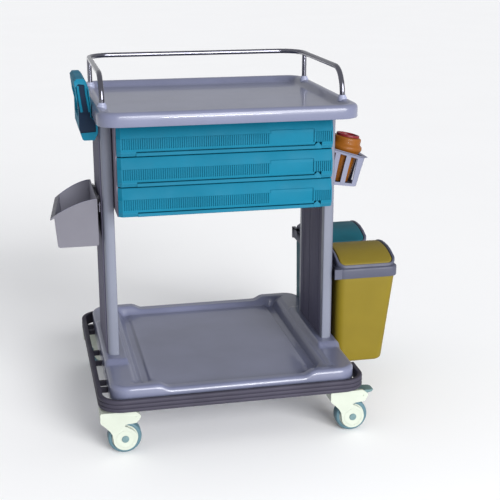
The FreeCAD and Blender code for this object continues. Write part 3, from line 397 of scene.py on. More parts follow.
def inset_ring(low, high, corner, inset, height, side=24, least=10):
    """A rounded rectangle brought in by inset, at a height or at one worked out per point.

    least is the smallest radius that its corners shrink to.
    """
    radius = max(corner - inset, least)
    outline = rounded((low[0] + inset, low[1] + inset), (high[0] - inset, high[1] - inset),
                      radius, 12, side)
    if callable(height):
        return [(x, y, height(x, y)) for x, y in outline]
    return [(x, y, height) for x, y in outline]


def make_top_tray():
    low, high = limits("top_tray")
    crest, bottom = high.z, low.z
    floor = crest - 16
    corner = 48
    # (inset, height) from under the tray's middle, round the rolled edge to the recessed floor
    profile = [(200, floor - 4), (6, floor - 4), (4.5, bottom + 1), (3.5, bottom), (1.2, bottom),
               (0, bottom + 1.5), (0, crest - 12), (0.7, crest - 8), (2.6, crest - 4.4),
               (5.6, crest - 1.7), (9.5, crest - 0.4), (14, crest), (19, crest - 0.6),
               (24, crest - 3), (28, crest - 7), (32, crest - 12), (35.5, crest - 15),
               (40, floor), (60, floor - 0.4), (120, floor - 0.6), (230, floor - 0.6)]
    shape = bmesh.new()
    loft(shape, [inset_ring(low, high, corner, inset, height) for inset, height in profile])
    add("tray_top", shape, "abs_lavender", "cart_frame", ["top_tray"], angle=50)


def make_rail():
    low, high = limits("guard_rail")
    radius, bend = 6.35, 62
    x, top = high.x - radius, high.z - radius
    front, back = low.y + radius, high.y - radius
    foot = low.z

    def half_run(sign):
        """One side of the rail, from its front foot to the middle of its back run."""
        run = [(sign * x, front, foot), (sign * x, front, foot + 20)]
        run += [(sign * x, y, z) for y, z in arc((front + bend, top - bend), bend, 180, 90, 14)]
        run.append((sign * x, (front + back) / 2, top))
        run += [(sign * px, y, top) for px, y in arc((x - bend, back - bend), bend, 0, 90, 14)]
        return run
    post_y = back - bend
    shape = bmesh.new()
    tube(shape, half_run(-1) + half_run(1)[::-1], radius, 24)
    for sign in (-1, 1):
        tube(shape, [(sign * x, post_y, foot), (sign * x, post_y, top)], radius - 0.2, 24)
    add("rail_tube", shape, "rail_chrome", "cart_frame", ["guard_rail"], angle=60)

    low, high = limits("rail_sockets")
    half = 11.5
    collar = [(0, 0), (11.4, 0), (11.4, 8), (10.8, 9.6), (9.2, 10.6), (8.8, 13.6),
              (8.2, 14.7), (6.5, 15), (0, 15)]
    shape = bmesh.new()
    for sign in (-1, 1):
        for y in (low.y + half, high.y - half):
            lathe(shape, collar, (sign * (high.x - half), y, low.z), "Z", 36)
    add("rail_collars", shape, "socket_grey", "cart_frame", ["rail_sockets"])


# ---- columns ----

# (middle, width) of the grooves along a column's faces; the narrow ones are mere lines.
GROOVES = ((-80, 3.2), (-66, 1.6), (6, 3.4), (50, 1.6), (64, 3.4))


def make_columns():
    for side, sign in (("left", -1), ("right", 1)):
        low, high = limits(f"column_{side}")
        inner, outer = sorted((abs(low.x), abs(high.x)))
        walls = []
        for face, inward in ((inner, 1), (outer, -1)):
            run = [(face, low.y)]
            for middle, width in GROOVES:
                start, stop = middle - width / 2, middle + width / 2
                deep = face + inward * (4.5 if width > 2 else 1.4)
                run += [(face, start), (deep, start + 0.4), (deep, stop - 0.4), (face, stop)]
            run.append((face, high.y))
            walls.append(run)
        outline = [(sign * x, y) for x, y in walls[0] + walls[1][::-1]]
        shape = bmesh.new()
        prism(shape, outline, "Z", low.z, high.z)
        add(f"column_{side}_extrusion", shape, "aluminium_dark", "cart_frame", [f"column_{side}"])
    low, high = limits("column_covers")
    outer, inner, deep = high.x, high.x - 27, 18
    tight, wide = 3, 13  # radii of a nose's corners towards the drawers and outwards
    shape = bmesh.new()
    for sign in (-1, 1):
        for edge, turn in ((low.y, 1), (high.y, -1)):
            root = edge + turn * deep
            outline = [(inner, root), (inner, edge + turn * tight)]
            outline += [(inner + tight - tight * math.cos(t),
                         edge + turn * (tight - tight * math.sin(t)))
                        for t in (math.pi / 2 * step / 4 for step in range(1, 5))]
            outline += [(outer - wide + wide * math.sin(t),
                         edge + turn * (wide - wide * math.cos(t)))
                        for t in (math.pi / 2 * step / 10 for step in range(11))]
            outline += [(outer, root)]
            prism(shape, [(sign * x, y) for x, y in outline], "Z", low.z, high.z)
    add("column_noses", shape, "column_cover", "cart_frame", ["column_covers"])


# ---- drawers ----

def make_drawer_front(number):
    """A front with a ribbed band, a raised label field and a slanted pull under the band.

    It is a row of upright profiles, closely spaced where the front changes along its width.
    """
    node = f"drawer_{number}_front"
    low, high = limits(node)
    left, right, face, back = low.x, high.x, low.y, high.y
    base, top = low.z, high.z
    pull_left, pull_right = -217, 233
    label_left, label_right = 106, 211
    pitch, groove, rib_cut = 5.2, 2.4, 2.4
    notch, notch_half, slot_depth = 224, 9, min(18, back - face - 3)
    band_low, band_high = base + 17.5, base + 43
    left_chamfer, right_chamfer = 9, 5

    marks = {left, right, left + left_chamfer, right - right_chamfer, pull_left, pull_left + 0.4,
             pull_right, pull_right - 0.4, label_left, label_left + 0.5, label_right,
             label_right + 0.3, label_right + 2.2, label_right + 2.5, left + 36,
             notch - notch_half, notch - notch_half + 0.4, notch, notch + notch_half,
             notch + notch_half - 0.4}
    spot = left + 12
    ribs = []
    while spot < right - right_chamfer:
        if not label_left - pitch < spot < label_right + 4:
            ribs.append(spot)
        spot += pitch
    for start in ribs:
        marks.update(start + offset for offset in (0, 0.5, groove - 0.5, groove))

    def rib_depth(x):
        for start in ribs:
            if start + 0.2 < x < start + groove - 0.2:
                return rib_cut
        return 0.0

    def profile(x):
        """The front's section at x, from its back foot round the face to its back top."""
        chamfer = 8 * max(0.0, (left + left_chamfer - x) / left_chamfer,
                          (x - right + right_chamfer) / right_chamfer * 0.6)
        in_pull = pull_left + 0.2 < x < pull_right - 0.2
        in_label = label_left + 0.2 < x < label_right + 0.15
        slot = label_right + 0.15 < x < label_right + 2.35
        dent = rib_depth(x)
        raised = 0.0 if in_label else 0.8
        if slot:
            raised, dent = 3.0, 3.0
        near_notch = abs(x - notch) < notch_half - 0.2
        slot_low = base + 7.8 + (8.4 * (1 - abs(x - notch) / notch_half) if near_notch else 0)
        slot_high = base + (17.2 if near_notch else 12.0)
        slot_back = face + slot_depth
        # (z, y) from the foot up
        points = [
            (base, back), (base, face + 6.5 if not in_pull else face + 3.4),
            (base + 1.5, face + 5.4 if not in_pull else face + 2.0),
            (slot_low, face + (4.6 if in_pull else 2.6)),
            (slot_low + 0.2, slot_back if in_pull else face + 2.4),
            (slot_high - 0.2, slot_back if in_pull else face + 1.0),
            (slot_high, face + (1.0 if in_pull else 0.6)),
            (band_low, face + 0.2), (band_low + 0.5, face + 0.2 + dent),
            (band_high - 0.5, face + 0.2 + dent), (band_high, face + 0.2 + raised),
            (band_high + 6.2, face + (1.0 if in_label else 2.6) + (2.0 if slot else 0)),
            (band_high + 7.0, face + 2.8), (top - 1.8, face + 7.6), (top - 0.4, face + 8.6),
            (top, face + 10.2), (top, back)]
        return [(x, min(back, y + chamfer), z) for z, y in points]

    shape = bmesh.new()
    rows = [[shape.verts.new(point) for point in profile(x)] for x in sorted(marks)]
    for row, following in zip(rows, rows[1:]):
        for index in range(len(row) - 1):
            shape.faces.new((row[index], following[index], following[index + 1], row[index + 1]))
        shape.faces.new((row[-1], following[-1], following[0], row[0]))
    for row in (rows[0], rows[-1]):
        shape.faces.new(row)
    add(f"drawer_{number}_fascia", shape, "teal_plastic", f"drawer_{number}", [node], angle=24)


# ---- base tray and bumper ----

def make_base():
    low, high = limits("base_tray")
    bottom, boss = low.z, high.z
    deck, floor = boss - 11, boss - 33
    corner, side = 46, 60
    # The right channel is the one that shows dark in the photograph.
    right_side, left_side = {"deep": 9.5, "lip": 1.8}, {"deep": 3.0, "lip": 0.8}

    def rim(x, y):
        """Height of the rim: raised under the columns, and lower along the front and back."""
        dip = 1 - step_up(abs(x - 4), 166, 194)
        front = step_up(-y, 262, 280)
        back = step_up(y, 250, 268)
        height = deck - 11.5 * dip * front - 11.0 * dip * back
        plinth = step_up(abs(x), 240, 252) * step_up(y, -163, -152) * (1 - step_up(y, 136, 147))
        return height + (boss - height) * plinth

    def inside(x, y):
        """Height of the floor, with a channel along each side."""
        aside = abs(x)
        own = right_side if x > 0 else left_side
        wall = step_up(aside, 219, 238)
        channel = step_up(aside, 200, 207) * (1 - wall) * (1 - step_up(-y, 222, 238))
        ridge = math.exp(-((aside - 199) / 4.5) ** 2) * own["lip"]
        end = max(step_up(-y, 268, 286), step_up(y, 247, 266))
        height = floor - own["deep"] * channel + ridge * (1 - end)
        shelf = floor + 17
        height += (shelf - height) * wall * (1 - end)
        ledge = step_up(aside, 240, 250)
        return height + (rim(x, y) - height) * max(end, ledge)

    rings = [inset_ring(low, high, corner, inset, height, side)
             for inset, height in ((60, floor - 6), (7, floor - 6), (5, bottom), (0.6, bottom))]
    for inset, drop in ((0, 10), (1.2, 6), (3.5, 2.8), (6.5, 0.9), (10, 0)):
        rings.append(inset_ring(low, high, corner, inset,
                                lambda x, y, d=drop: rim(x, y) - d, side))
    inset = 13.0
    while inset < 292:
        rings.append(inset_ring(low, high, corner, inset, inside, side, 14))
        inset += 2.2 if inset < 110 else 9
    shape = bmesh.new()
    loft(shape, rings)
    add("base_moulding", shape, "abs_lavender", "cart_frame", ["base_tray"], angle=60)


def bumper_path():
    """The bumper's outer line in plan, from its end beside the bins round to the back."""
    low, high = limits("bumper")
    left, right, front, back = low.x, high.x, low.y, high.y
    corner = 58
    path = [(right, -218), (right, front + corner)]
    path += arc((right - corner, front + corner), corner, 0, -90, 14)[1:]
    path.append((0, front))
    path += arc((left + corner, front + corner), corner, -90, -180, 14)
    path.append((left, 0))
    path += arc((left + corner, back - corner), corner, 180, 90, 14)
    path += [(0, back), (246, back)]
    return path


def make_bumper():
    low, high = limits("bumper")
    bottom, top = low.z, high.z
    tall = top - bottom
    # (outward, height) round the band, with three ribs on its outer face
    outline = [(-11.5, bottom + 0.8), (-10.5, bottom), (-3, bottom)]
    for rib in range(3):
        middle = bottom + tall * (rib + 0.5) / 3
        half = tall / 6 - 0.7
        outline += [(-2.9, middle - half - 0.5)]
        outline += [(-1.9 + 1.9 * math.cos(turn), middle + half * math.sin(turn))
                    for turn in (math.radians(angle) for angle in range(-80, 81, 20))]
        outline += [(-2.9, middle + half + 0.5)]
    outline += [(-3, top), (-10.5, top), (-11.5, top - 0.8)]
    shape = bmesh.new()
    sweep(shape, bumper_path()[::-1], outline)
    add("bumper_band", shape, "bumper_rubber", "cart_frame", ["bumper"], angle=50)


# ---- push handle ----

def make_handle():
    low, high = limits("push_handle")
    bottom, top = low.z, high.z
    root, clear = high.x, -311  # the column's face, and the plate's face past the top tray
    # (x, z) of the handle seen from the front
    outline = [
        (root, bottom + 17), (root, bottom + 49), (clear, bottom + 54), (clear, bottom + 86),
        (clear - 3, top - 24), (clear - 9, top - 6), (clear - 15, top), (clear - 31, top),
        (clear - 37, top - 7), (clear - 33, top - 46), (clear - 29, top - 66),
        (clear - 29, top - 120), (clear - 22, bottom + 2), (clear - 18, bottom), (root - 9, bottom)]
    shape = bmesh.new()
    prism(shape, outline, "Y", low.y, high.y)
    made = add("handle_grip", shape, "teal_plastic", "cart_frame", ["push_handle"], extra=[RECESS_SHADE_NAVY])
    gap = bmesh.new()
    block(gap, (clear - 90, low.y + 30, bottom + 52), (root - 2, high.y - 30, top - 26))
    recess = bmesh.new()
    hollow = [(root - 5, bottom + 20), (root - 5, bottom + 46), (clear - 2, bottom + 56),
              (clear - 2, bottom + 86), (clear - 6, top - 26), (clear - 14, top - 14),
              (clear - 27, top - 12), (clear - 34, top - 20), (clear - 30.5, top - 48),
              (clear - 31, top - 70), (clear - 31, top - 118), (clear - 27, bottom + 18)]
    prism(recess, hollow, "Y", low.y - 5, low.y + 4)
    # The recess is lined with navy painted shade.
    without(made, cutter(gap, MATERIALS["teal_plastic"]), cutter(recess, RECESS_SHADE_NAVY))
    resharpen(made, 1.6)
    ridges = bmesh.new()
    for offset, reach, width in ((-29.0, 62, 3.4), (-10.5, 62, 3.0)):
        path = [(clear + offset + drop ** 1.35 / 34, low.y + 3.2, top - 17 - drop)
                for drop in (reach * (step / 10) for step in range(11))]
        tube(ridges, path, width, 12)
    add("handle_ridges", ridges, "teal_plastic", "cart_frame")


# ---- storage bin ----

def hook(shape, sign, y, root, bar_top, lap):
    """A tongue from x = root over a bar's top and down between the bar and the column."""
    behind, face, width = 296.4, 298.4, 24
    low, high = sorted((sign * behind, root))
    block(shape, (low, y, bar_top + 0.6), (high, y + width, bar_top + 4))
    low, high = sorted((sign * behind, sign * face))
    block(shape, (low, y, bar_top - 14), (high, y + width, bar_top + lap))


def make_storage_bin():
    """An open hopper: narrower at the back, with ends that curve down to a low outer rim."""
    low = limits("storage_bin")[0]
    inner, lip, bottom = -305.6, low.x, low.z
    top, rim = bottom + 118, bottom + 81
    front, back, narrower = -121, 98, 21
    wall = 2.6

    def crest(outer):
        """The curved upper edge of an end panel, from the column outwards."""
        return [(inner - 4 + (outer - inner + 4) * step / 12,
                 top - (top - rim) * (step / 12) ** 1.6) for step in range(13)]

    def skin(outer):
        """(x, z) round the outside."""
        return ([(inner, bottom + 6), (inner, top)] + crest(outer)
                + [(outer - 9, rim - 7), (outer - 10, rim - 9.5), (outer - 7.8, rim - 10.5),
                   (outer + 0.4, rim - 6), (outer + 6, bottom + 5), (outer + 8, bottom + 1.5),
                   (outer + 12, bottom), (inner - 6, bottom), (inner - 1.5, bottom + 1.5)])

    def hollow(outer):
        """(x, z) round the space inside."""
        return [(inner - 3, bottom + 6), (inner - 3, top + 20), (outer + 1.4, top + 20),
                (outer + 2.6, rim - 6), (outer + 8.4, bottom + 7), (outer + 12, bottom + 3),
                (inner - 8, bottom + 3)]

    def between(shape, section, y_front, y_back):
        """Join a section at two places between the hopper's front and back."""
        rings = []
        for y in (y_front, y_back):
            outer = lip + 10 + narrower * (y - front) / (back - front)
            rings.append([(x, y, z) for x, z in section(outer)])
        loft(shape, rings)

    shape = bmesh.new()
    between(shape, skin, front, back)
    made = add("storage_hopper", shape, "storage_grey", "storage_bin", ["storage_bin"],
               extra=[HOPPER_PAINTED_LIGHT])
    space = bmesh.new()
    between(space, hollow, front + wall, back - wall)
    # The inside is lined with the lighter grey, painted light.
    without(made, cutter(space, HOPPER_PAINTED_LIGHT))
    resharpen(made, 0.8)

    def bead(outer):
        """(x, z) round the rolled upper edge of an end panel."""
        run = [(inner - 2, top - 1.0)] + crest(outer)[:-1] + [(outer + 1, rim - 0.5)]
        return run + [(x, z - 2.2) for x, z in run][::-1]
    rims = bmesh.new()
    for y in (front + 0.1, back - 3.3):
        between(rims, bead, y, y + 3.2)
    add("storage_rims", rims, "basket_lavender", "storage_bin", bevel=0.5)
    hooks = bmesh.new()
    bar_top = limits("storage_bar")[1].z
    for y in (-81, 32):
        hook(hooks, -1, y, inner - 1, bar_top, 1)
    add("storage_hooks", hooks, "storage_grey", "storage_bin", bevel=0.4)


# ---- waste bins ----

def bin_frame(colour):
    """A bin's near and far x, its two ends, and the bottom and top of its collar's band."""
    low, high = limits(f"{colour}_bin_frame")
    return high.x - 167.2, high.x, low.y, high.y, low.z, low.z + 28


def crown(y, y1, y2, rise):
    """Height of the domed top at y, on a bin that runs from y1 to y2."""
    return rise * (1 - abs((y - (y1 + y2) / 2) / ((y2 - y1) / 2)) ** 2.4)


def make_bin(colour, slot):
    """A tapered pail in a grey collar that hooks over the bar."""
    body = f"{colour}_bin"
    near, far, y1, y2, band_low, band_top = bin_frame(colour)
    bottom = limits(f"{colour}_bin_bucket")[0].z
    lid_top = limits(f"{colour}_bin_lid")[1].z
    # How far the outer side and the ends come in at the foot, and all of them at the top
    taper, slope, brim = 31, 14, 3.4
    corner = 22

    def plan(low_corner, high_corner, radius):
        """A bin's outline, with a tight corner where it meets the column at the back."""
        return rounded(low_corner, high_corner, radius, 10, 6, min(radius, 10))

    def ring(inset_far, inset_side, height, inset_near=4.0, radius=corner):
        return [(x, y, height) for x, y in plan(
            (near + inset_near, y1 + inset_side), (far - inset_far, y2 - inset_side), radius)]

    def wall(share, thick):
        """A ring of the pail's wall: share runs from 0 at the top to 1 at the foot."""
        height = band_top - 15 + (bottom - band_top + 15) * share
        return ring(brim + (taper - brim) * share + thick, brim + (slope - brim) * share + thick,
                    height, 4 + thick, corner - thick)

    shape = bmesh.new()
    rings = [ring(taper + 30, slope + 30, bottom + 3), ring(taper + 8, slope + 8, bottom + 1.2),
             ring(taper + 6, slope + 6, bottom), ring(taper + 3, slope + 3, bottom + 0.6),
             ring(taper + 0.8, slope + 0.8, bottom + 3), wall(0.97, 0)]
    rings += [wall(share, 0) for share in (0.85, 0.6, 0.35, 0.1, 0)]
    rings += [wall(share, 2.5) for share in (0, 0.3, 0.6, 0.9, 0.97)]
    rings.append(ring(taper + 30, slope + 30, bottom + 5))
    loft(shape, rings)
    add(f"{colour}_pail", shape, slot, body, [f"{colour}_bin_bucket"], angle=50)

    def shoulder(inset_x, inset_y, lift, radius):
        """A ring of the collar that follows the lid's dome, by a share of the dome's height."""
        rise = lid_top - band_top + 1
        return [(x, y, band_top + crown(y, y1, y2, rise) * lift) for x, y in plan(
            (near + inset_x, y1 + inset_y), (far - inset_x, y2 - inset_y), radius)]

    # Up the outside of the band, over the shoulder, and down the inside to the start
    shape = bmesh.new()
    rings = [ring(0.3, 0.3, band_low + 0.8, 0.3), ring(0, 0, band_low + 2.5, 0),
             ring(0.0, 0.0, band_top - 6, 0), ring(0.6, 0.6, band_top - 2.5, 0.6),
             ring(3.0, 3.0, band_top - 0.6, 3.0), ring(5.5, 6.5, band_top, 4.5),
             shoulder(3.0, 7.5, 0.55, 22), shoulder(3.0, 8, 0.9, 22),
             shoulder(4.2, 8.6, 1.0, 21), shoulder(8.5, 9.0, 1.0, 18),
             shoulder(10.4, 9.4, 0.93, 17), shoulder(10.8, 9.6, 0.55, 16),
             ring(10.8, 9.6, band_top - 7, 10.8, 16), ring(6.6, 6.6, band_top - 7, 6.6, 22),
             ring(2.8, 2.8, band_top - 8, 2.8), ring(2.6, 2.6, band_low + 0.8, 2.6)]
    loft(shape, rings + rings[:1], cap_first=False, cap_last=False)

    # The collar is closed towards the column by a block, at the front of the yellow bin and at
    # the back of the teal one, and behind the teal bin by a strip over the bar.
    bar_top = limits("bin_bar")[1].z
    over, root = bar_top + 4, near + 3
    end = y1 + 0.3 if colour == "yellow" else y2 - 7
    block(shape, (297, end, band_low + 1), (near + 13, end + 6.5, band_top - 1))
    if colour == "teal":
        start, stop, behind = y1 + 60, y2 - 1, 296.6
        block(shape, (behind, start, bar_top - 24), (298.2, stop, over))
        block(shape, (behind, start, bar_top + 0.6), (root, stop, over))
    for y in (y1 + 52, y1 + 150):
        hook(shape, 1, y, root, bar_top, 0.8)
    add(f"{colour}_collar", shape, "bin_frame_grey", body, [f"{colour}_bin_frame"], angle=48)


def make_flap(colour, slot):
    """A domed swing lid inside the collar, with a pin at each side."""
    near, far, y1, y2, _, band_top = bin_frame(colour)
    lid_top = limits(f"{colour}_bin_lid")[1].z
    shape = bmesh.new()
    rings = []
    for inset, drop, lift in ((12.6, 6, 0), (12.6, 1, 0), (12.6, 0, 0.93), (13.4, 0, 0.98),
                              (16, 0, 1), (24, 0, 1), (40, 0, 1), (60, 0, 1), (78, 0, 1)):
        points = []
        for x, y in rounded((near + inset, y1 + inset), (far - inset, y2 - inset),
                            max(16 - inset / 6, 4), 8, 10):
            rise = crown(y, y1, y2, lid_top - band_top - 0.4)
            points.append((x, y, band_top + (rise * lift if lift else -drop)))
        rings.append(points)
    loft(shape, rings, cap_first=False)
    pivot_z = band_top + 22
    for x in (near + 3, far - 14):
        lathe(shape, [(0, 0), (2.9, 0), (2.9, 11), (0, 11)], (x, (y1 + y2) / 2, pivot_z), "X", 20)
    add(f"{colour}_flap", shape, slot, f"{colour}_lid", [f"{colour}_bin_lid"], angle=50)


# ---- sharps holder ----

def basket_edge(place):
    """A point on the basket's plan, as shares of its width and half depth.

    The place runs 0-1 along the front, 1-2 round a corner, 2-3 along the outer side, 3-4 round
    the other corner, 4-5 along the back and 5-6 up the wall by the column.
    """
    round_x, round_y = 0.25, 0.43
    leg, share = int(place) % 6, place % 1
    turn = math.pi / 2 * share
    if leg == 0:
        return (1 - round_x) * share, -1
    if leg == 1:
        return 1 - round_x + round_x * math.sin(turn), -1 + round_y * (1 - math.cos(turn))
    if leg == 2:
        return 1, (1 - round_y) * (2 * share - 1)
    if leg == 3:
        return 1 - round_x + round_x * math.cos(turn), 1 - round_y * (1 - math.sin(turn))
    if leg == 4:
        return (1 - round_x) * (1 - share), 1
    return 0, 1 - 2 * share


def make_sharps_basket():
    """A basket of leaning slats between a floor and a sloping rim."""
    corner = limits("sharps_bracket")[0]
    wall, middle = corner.x + 7, corner.y + 18
    floor, rim = corner.z - 16, corner.z + 82
    thick = 2.4

    def spot(place, share, inset=0.0, flare=0.0):
        """A point on the basket's side: share is the height, inset moves in, flare moves out.

        The floor and the rim both fall outwards, away from the column.
        """
        across, along = basket_edge(place)
        width = 73 + 21 * share - 2 * inset
        x = wall + inset + across * (width + 7 * flare)
        y = middle + along * (40 + 7 * share - inset + 4 * flare)
        z = floor + (rim - floor) * share - across * (10 + 21.5 * share)
        return Vector((x, y, z))

    places = [step / 12 for step in range(72)]

    def ring(share, inset=0.0, flare=0.0, lift=0.0):
        return [spot(place, share, inset, flare) + Vector((0, 0, lift)) for place in places]
    shape = bmesh.new()
    loft(shape, [ring(0, 24), ring(0), ring(0.04), ring(0.09), ring(0.09, thick),
                 ring(0.04, thick), ring(0, thick, 0, 2.6), ring(0, 24, 0, 2.6)])
    edge = [ring(0.9), ring(0.955), ring(0.97, 0, 0.25), ring(0.985, 0, 0.95),
            ring(0.995, 0, 1.0), ring(1.0, 0, 0.9), ring(1.0, 1.0), ring(0.985, thick),
            ring(0.9, thick), ring(0.9)]
    loft(shape, edge, cap_first=False, cap_last=False)
    # Each slat's (start, stop) round the basket, at its foot and at its head
    slats = (((0, 0.16), (0.16, 0.345)), ((0.43, 0.66), (0.59, 0.765)),
             ((1.04, 2.14), (1.02, 2.14)), ((2.38, 2.62), (2.38, 2.62)),
             ((2.86, 3.96), (2.86, 3.98)), ((4.34, 4.57), (4.235, 4.41)),
             ((4.84, 6), (4.655, 6)))
    for (start_low, stop_low), (start_high, stop_high) in slats:
        rows = []
        for share in (0.06, 0.3, 0.6, 0.93):
            start = start_low + (start_high - start_low) * share
            stop = stop_low + (stop_high - stop_low) * share
            run = [start + (stop - start) * step / 14 for step in range(15)]
            rows.append([spot(place, share) for place in run]
                        + [spot(place, share, thick) for place in run[::-1]])
        loft(shape, rows)
    add("sharps_cage", shape, "basket_lavender", "cart_frame", ["sharps_basket"], bevel=0.5)


def make_sharps_container():
    """A tub with a turning lid, which stands tilted in the basket."""
    corner = limits("sharps_bracket")[0]
    middle = corner.y + 18
    tilt = Euler((0, math.radians(12), 0)).to_matrix().to_4x4()
    where = Matrix.Translation((corner.x + 37.5, middle, corner.z - 13)) @ tilt
    radius, centre = 43.5, (0, 0, 0)
    # Up the outside over the bulged shoulder and the neck, then down the inside
    shape = bmesh.new()
    lathe(shape, [
        (0, 0), (radius - 20, 0), (radius - 18, 0.6), (radius - 17, 2.4), (radius - 12.2, 40),
        (radius - 7.6, 75), (radius - 6, 78), (radius - 2, 84), (radius - 0.4, 86.6),
        (radius, 89), (radius, 92), (radius - 0.6, 94.4), (radius - 3, 97.4),
        (radius - 6, 100.4), (radius - 6.6, 102.4), (radius - 6.5, 110), (radius - 6.6, 113.5),
        (radius - 7.2, 115.4), (radius - 8.6, 116.7), (radius - 14, 117.8), (radius - 15.5, 117.8),
        (radius - 15.5, 114.5), (radius - 10, 113), (radius - 10, 100.5), (radius - 2.8, 93),
        (radius - 2.8, 88), (radius - 10.3, 76.5), (radius - 19.6, 3), (0, 3)],
          centre, "Z", 72)
    add("sharps_tub", shape, "sharps_orange", "sharps_container", ["sharps_container"],
        where=where, angle=40)
    shape = bmesh.new()
    lathe(shape, [
        (14, 115), (24.5, 115), (24.5, 111), (27, 111), (27, 118.4), (30.4, 118.5),
        (30.5, 120.5), (30.2, 122.8), (29.4, 123.8), (28, 124), (24.4, 124), (23.2, 123.4),
        (22.8, 121.5), (22.2, 118.5), (14, 118.3)], centre, "Z", 72)
    add("sharps_cap", shape, "sharps_red", "sharps_lid", ["sharps_lid"], where=where, angle=40)


# ---- casters ----

def hood_outline(hub, top):
    """(x, z) of a hood seen from the side: down its back, round the axle and up its front."""
    lobe = 29
    outline = [(hub.x + x, top - drop) for x, drop in (
        (-58, 3), (-58, 24), (-56.5, 27), (-44, 39), (-36, 48), (-30.5, 58))]
    outline += arc((hub.x, hub.z), lobe, 200, 425, 34)
    outline += [(hub.x + x, hub.z + z) for x, z in (
        (6, 30.6), (1.5, 32.0), (-0.5, 34.4), (1.5, 37), (8, 38.8), (20, 39.6), (28, 40.6),
        (33, 45.5), (37, 51.5), (39, 56), (38, 60), (30, 67))]
    outline += [(hub.x + 26, top - 1), (hub.x + 22, top), (hub.x - 55, top)]
    return outline


def make_hood(name, hub, half, top, braked):
    """A hood open at the front and below, with a ring and a pin hole on each cheek."""
    body = f"caster_{name}"
    cheek = 17.6  # half the inner width
    shape = bmesh.new()
    prism(shape, hood_outline(hub, top), "Y", hub.y - half, hub.y + half)
    made = add(f"{body}_hood", shape, "caster_cream", body, [f"{body}_fork"])
    well = bmesh.new()
    lathe(well, both_ways([(0, cheek), (44, cheek)]), hub, "Y", 64)
    front = bmesh.new()
    block(front, (hub.x, hub.y - cheek, hub.z - 45), (hub.x + 60, hub.y + cheek, hub.z + 41))
    # The well, the front opening and the brake slot are lined with near black painted shade.
    tools = [cutter(well, HOOD_PAINTED_SHADE), cutter(front, HOOD_PAINTED_SHADE)]
    if braked:
        slot = bmesh.new()
        block(slot, (hub.x + 13, hub.y - cheek, top - 30), (hub.x + 60, hub.y + cheek, top + 3))
        tools.append(cutter(slot, HOOD_PAINTED_SHADE))
    for sign in (-1, 1):
        ring = bmesh.new()
        lathe(ring, [(21.2, -0.5), (22.6, -0.5), (22.6, 0.5), (21.2, 0.5), (21.2, -0.5)],
              (hub.x, hub.y + sign * half, hub.z), "Y", 64)
        caps = [face for face in ring.faces if len(face.verts) > 8]
        bmesh.ops.delete(ring, geom=caps, context="FACES_ONLY")
        tools.append(cutter(ring, MATERIALS["caster_cream"]))
        dot = bmesh.new()
        lathe(dot, both_ways([(0, 1.5), (1.7, 1.5)]),
              (hub.x + 26, hub.y + sign * half, hub.z + 57), "Y", 20)
        tools.append(cutter(dot, MATERIALS["pedal_grey"]))
    without(made, *tools)
    resharpen(made, 1.2)


def make_caps(name, hub, half):
    """The axle, with a cap on each cheek that carries two raised pins."""
    body = f"caster_{name}"
    shape = bmesh.new()
    for sign in (-1, 1):
        face = hub.y + sign * half
        lathe(shape, [(0, 0), (8.9, 0), (8.9, sign * 1.2), (8.2, sign * 1.9), (0, sign * 2.0)],
              (hub.x, face, hub.z), "Y", 40)
        for along in (-2.6, 2.6):
            lathe(shape, [(0, 0), (0.8, 0), (0.8, sign * 2.0), (0, sign * 2.0)],
                  (hub.x + along, face, hub.z), "Y", 10)
    lathe(shape, both_ways([(0, half), (4, half)]), hub, "Y", 24)
    add(f"{body}_caps", shape, "pedal_grey", body, [f"{body}_axle"])


def make_wheel(name, hub):
    wheel = f"wheel_{name}"
    wide = 16  # half the wheel's width
    shape = bmesh.new()
    core = [(5, wide - 1), (12, wide - 1), (13, wide - 3), (26, wide - 4), (28, wide - 1.5),
            (32, wide - 1.5)]
    lathe(shape, both_ways(core), hub, "Y", 64)
    add(f"{wheel}_core", shape, "caster_cream", wheel, [f"caster_{name}_wheel"])
    radius, turns = 41, 96
    # (radius, y) across the tread, with a groove round its middle
    outline = both_ways([
        (31.8, wide - 1.2), (35.5, wide - 0.2), (38.6, wide - 1.4), (40.2, wide - 4),
        (radius, wide - 8), (radius, 2.4), (39.6, 1.6), (38.2, 1)])
    rings = []
    for step in range(turns + 1):
        turn = math.tau * step / turns
        rings.append([(hub.x + r * math.cos(turn), hub.y + y, hub.z + r * math.sin(turn))
                      for r, y in outline])
    shape = bmesh.new()
    loft(shape, rings, cap_first=False, cap_last=False)
    add(f"{wheel}_tread", shape, "caster_tyre", wheel, [f"caster_{name}_tyre"], angle=50)


def make_pedal(name, hub):
    """A tongue with a rounded end that turns on a cross pin."""
    low, high = limits(f"caster_{name}_pedal")
    half_tongue, half_pin = 16.8, 22.7
    mid = (low.z + high.z) / 2 - 2.7
    side = [(low.x, mid - 3.4), (low.x + 8, mid - 4.3), (low.x + 22, mid + 1),
            (high.x - 3, mid + 3), (high.x - 0.3, mid + 6), (high.x - 3, mid + 9),
            (low.x + 17, mid + 9.8), (low.x + 6, mid + 5), (low.x, mid + 2.6)]
    rings = []
    for share in (-1, -0.96, -0.86, -0.6, 0, 0.6, 0.86, 0.96, 1):
        pull = 1 - math.sqrt(max(0.0, 1 - abs(share) ** 5))
        rings.append([(x - (x - low.x) * 0.42 * pull, hub.y + share * half_tongue, z)
                      for x, z in side])
    shape = bmesh.new()
    loft(shape, rings)
    lathe(shape, both_ways([(0, half_pin), (1.4, half_pin)]), (low.x + 5, hub.y, mid), "Y", 16)
    add(f"pedal_{name}_tongue", shape, "pedal_grey", f"pedal_{name}",
        [f"caster_{name}_pedal"], angle=30, bevel=0.8)


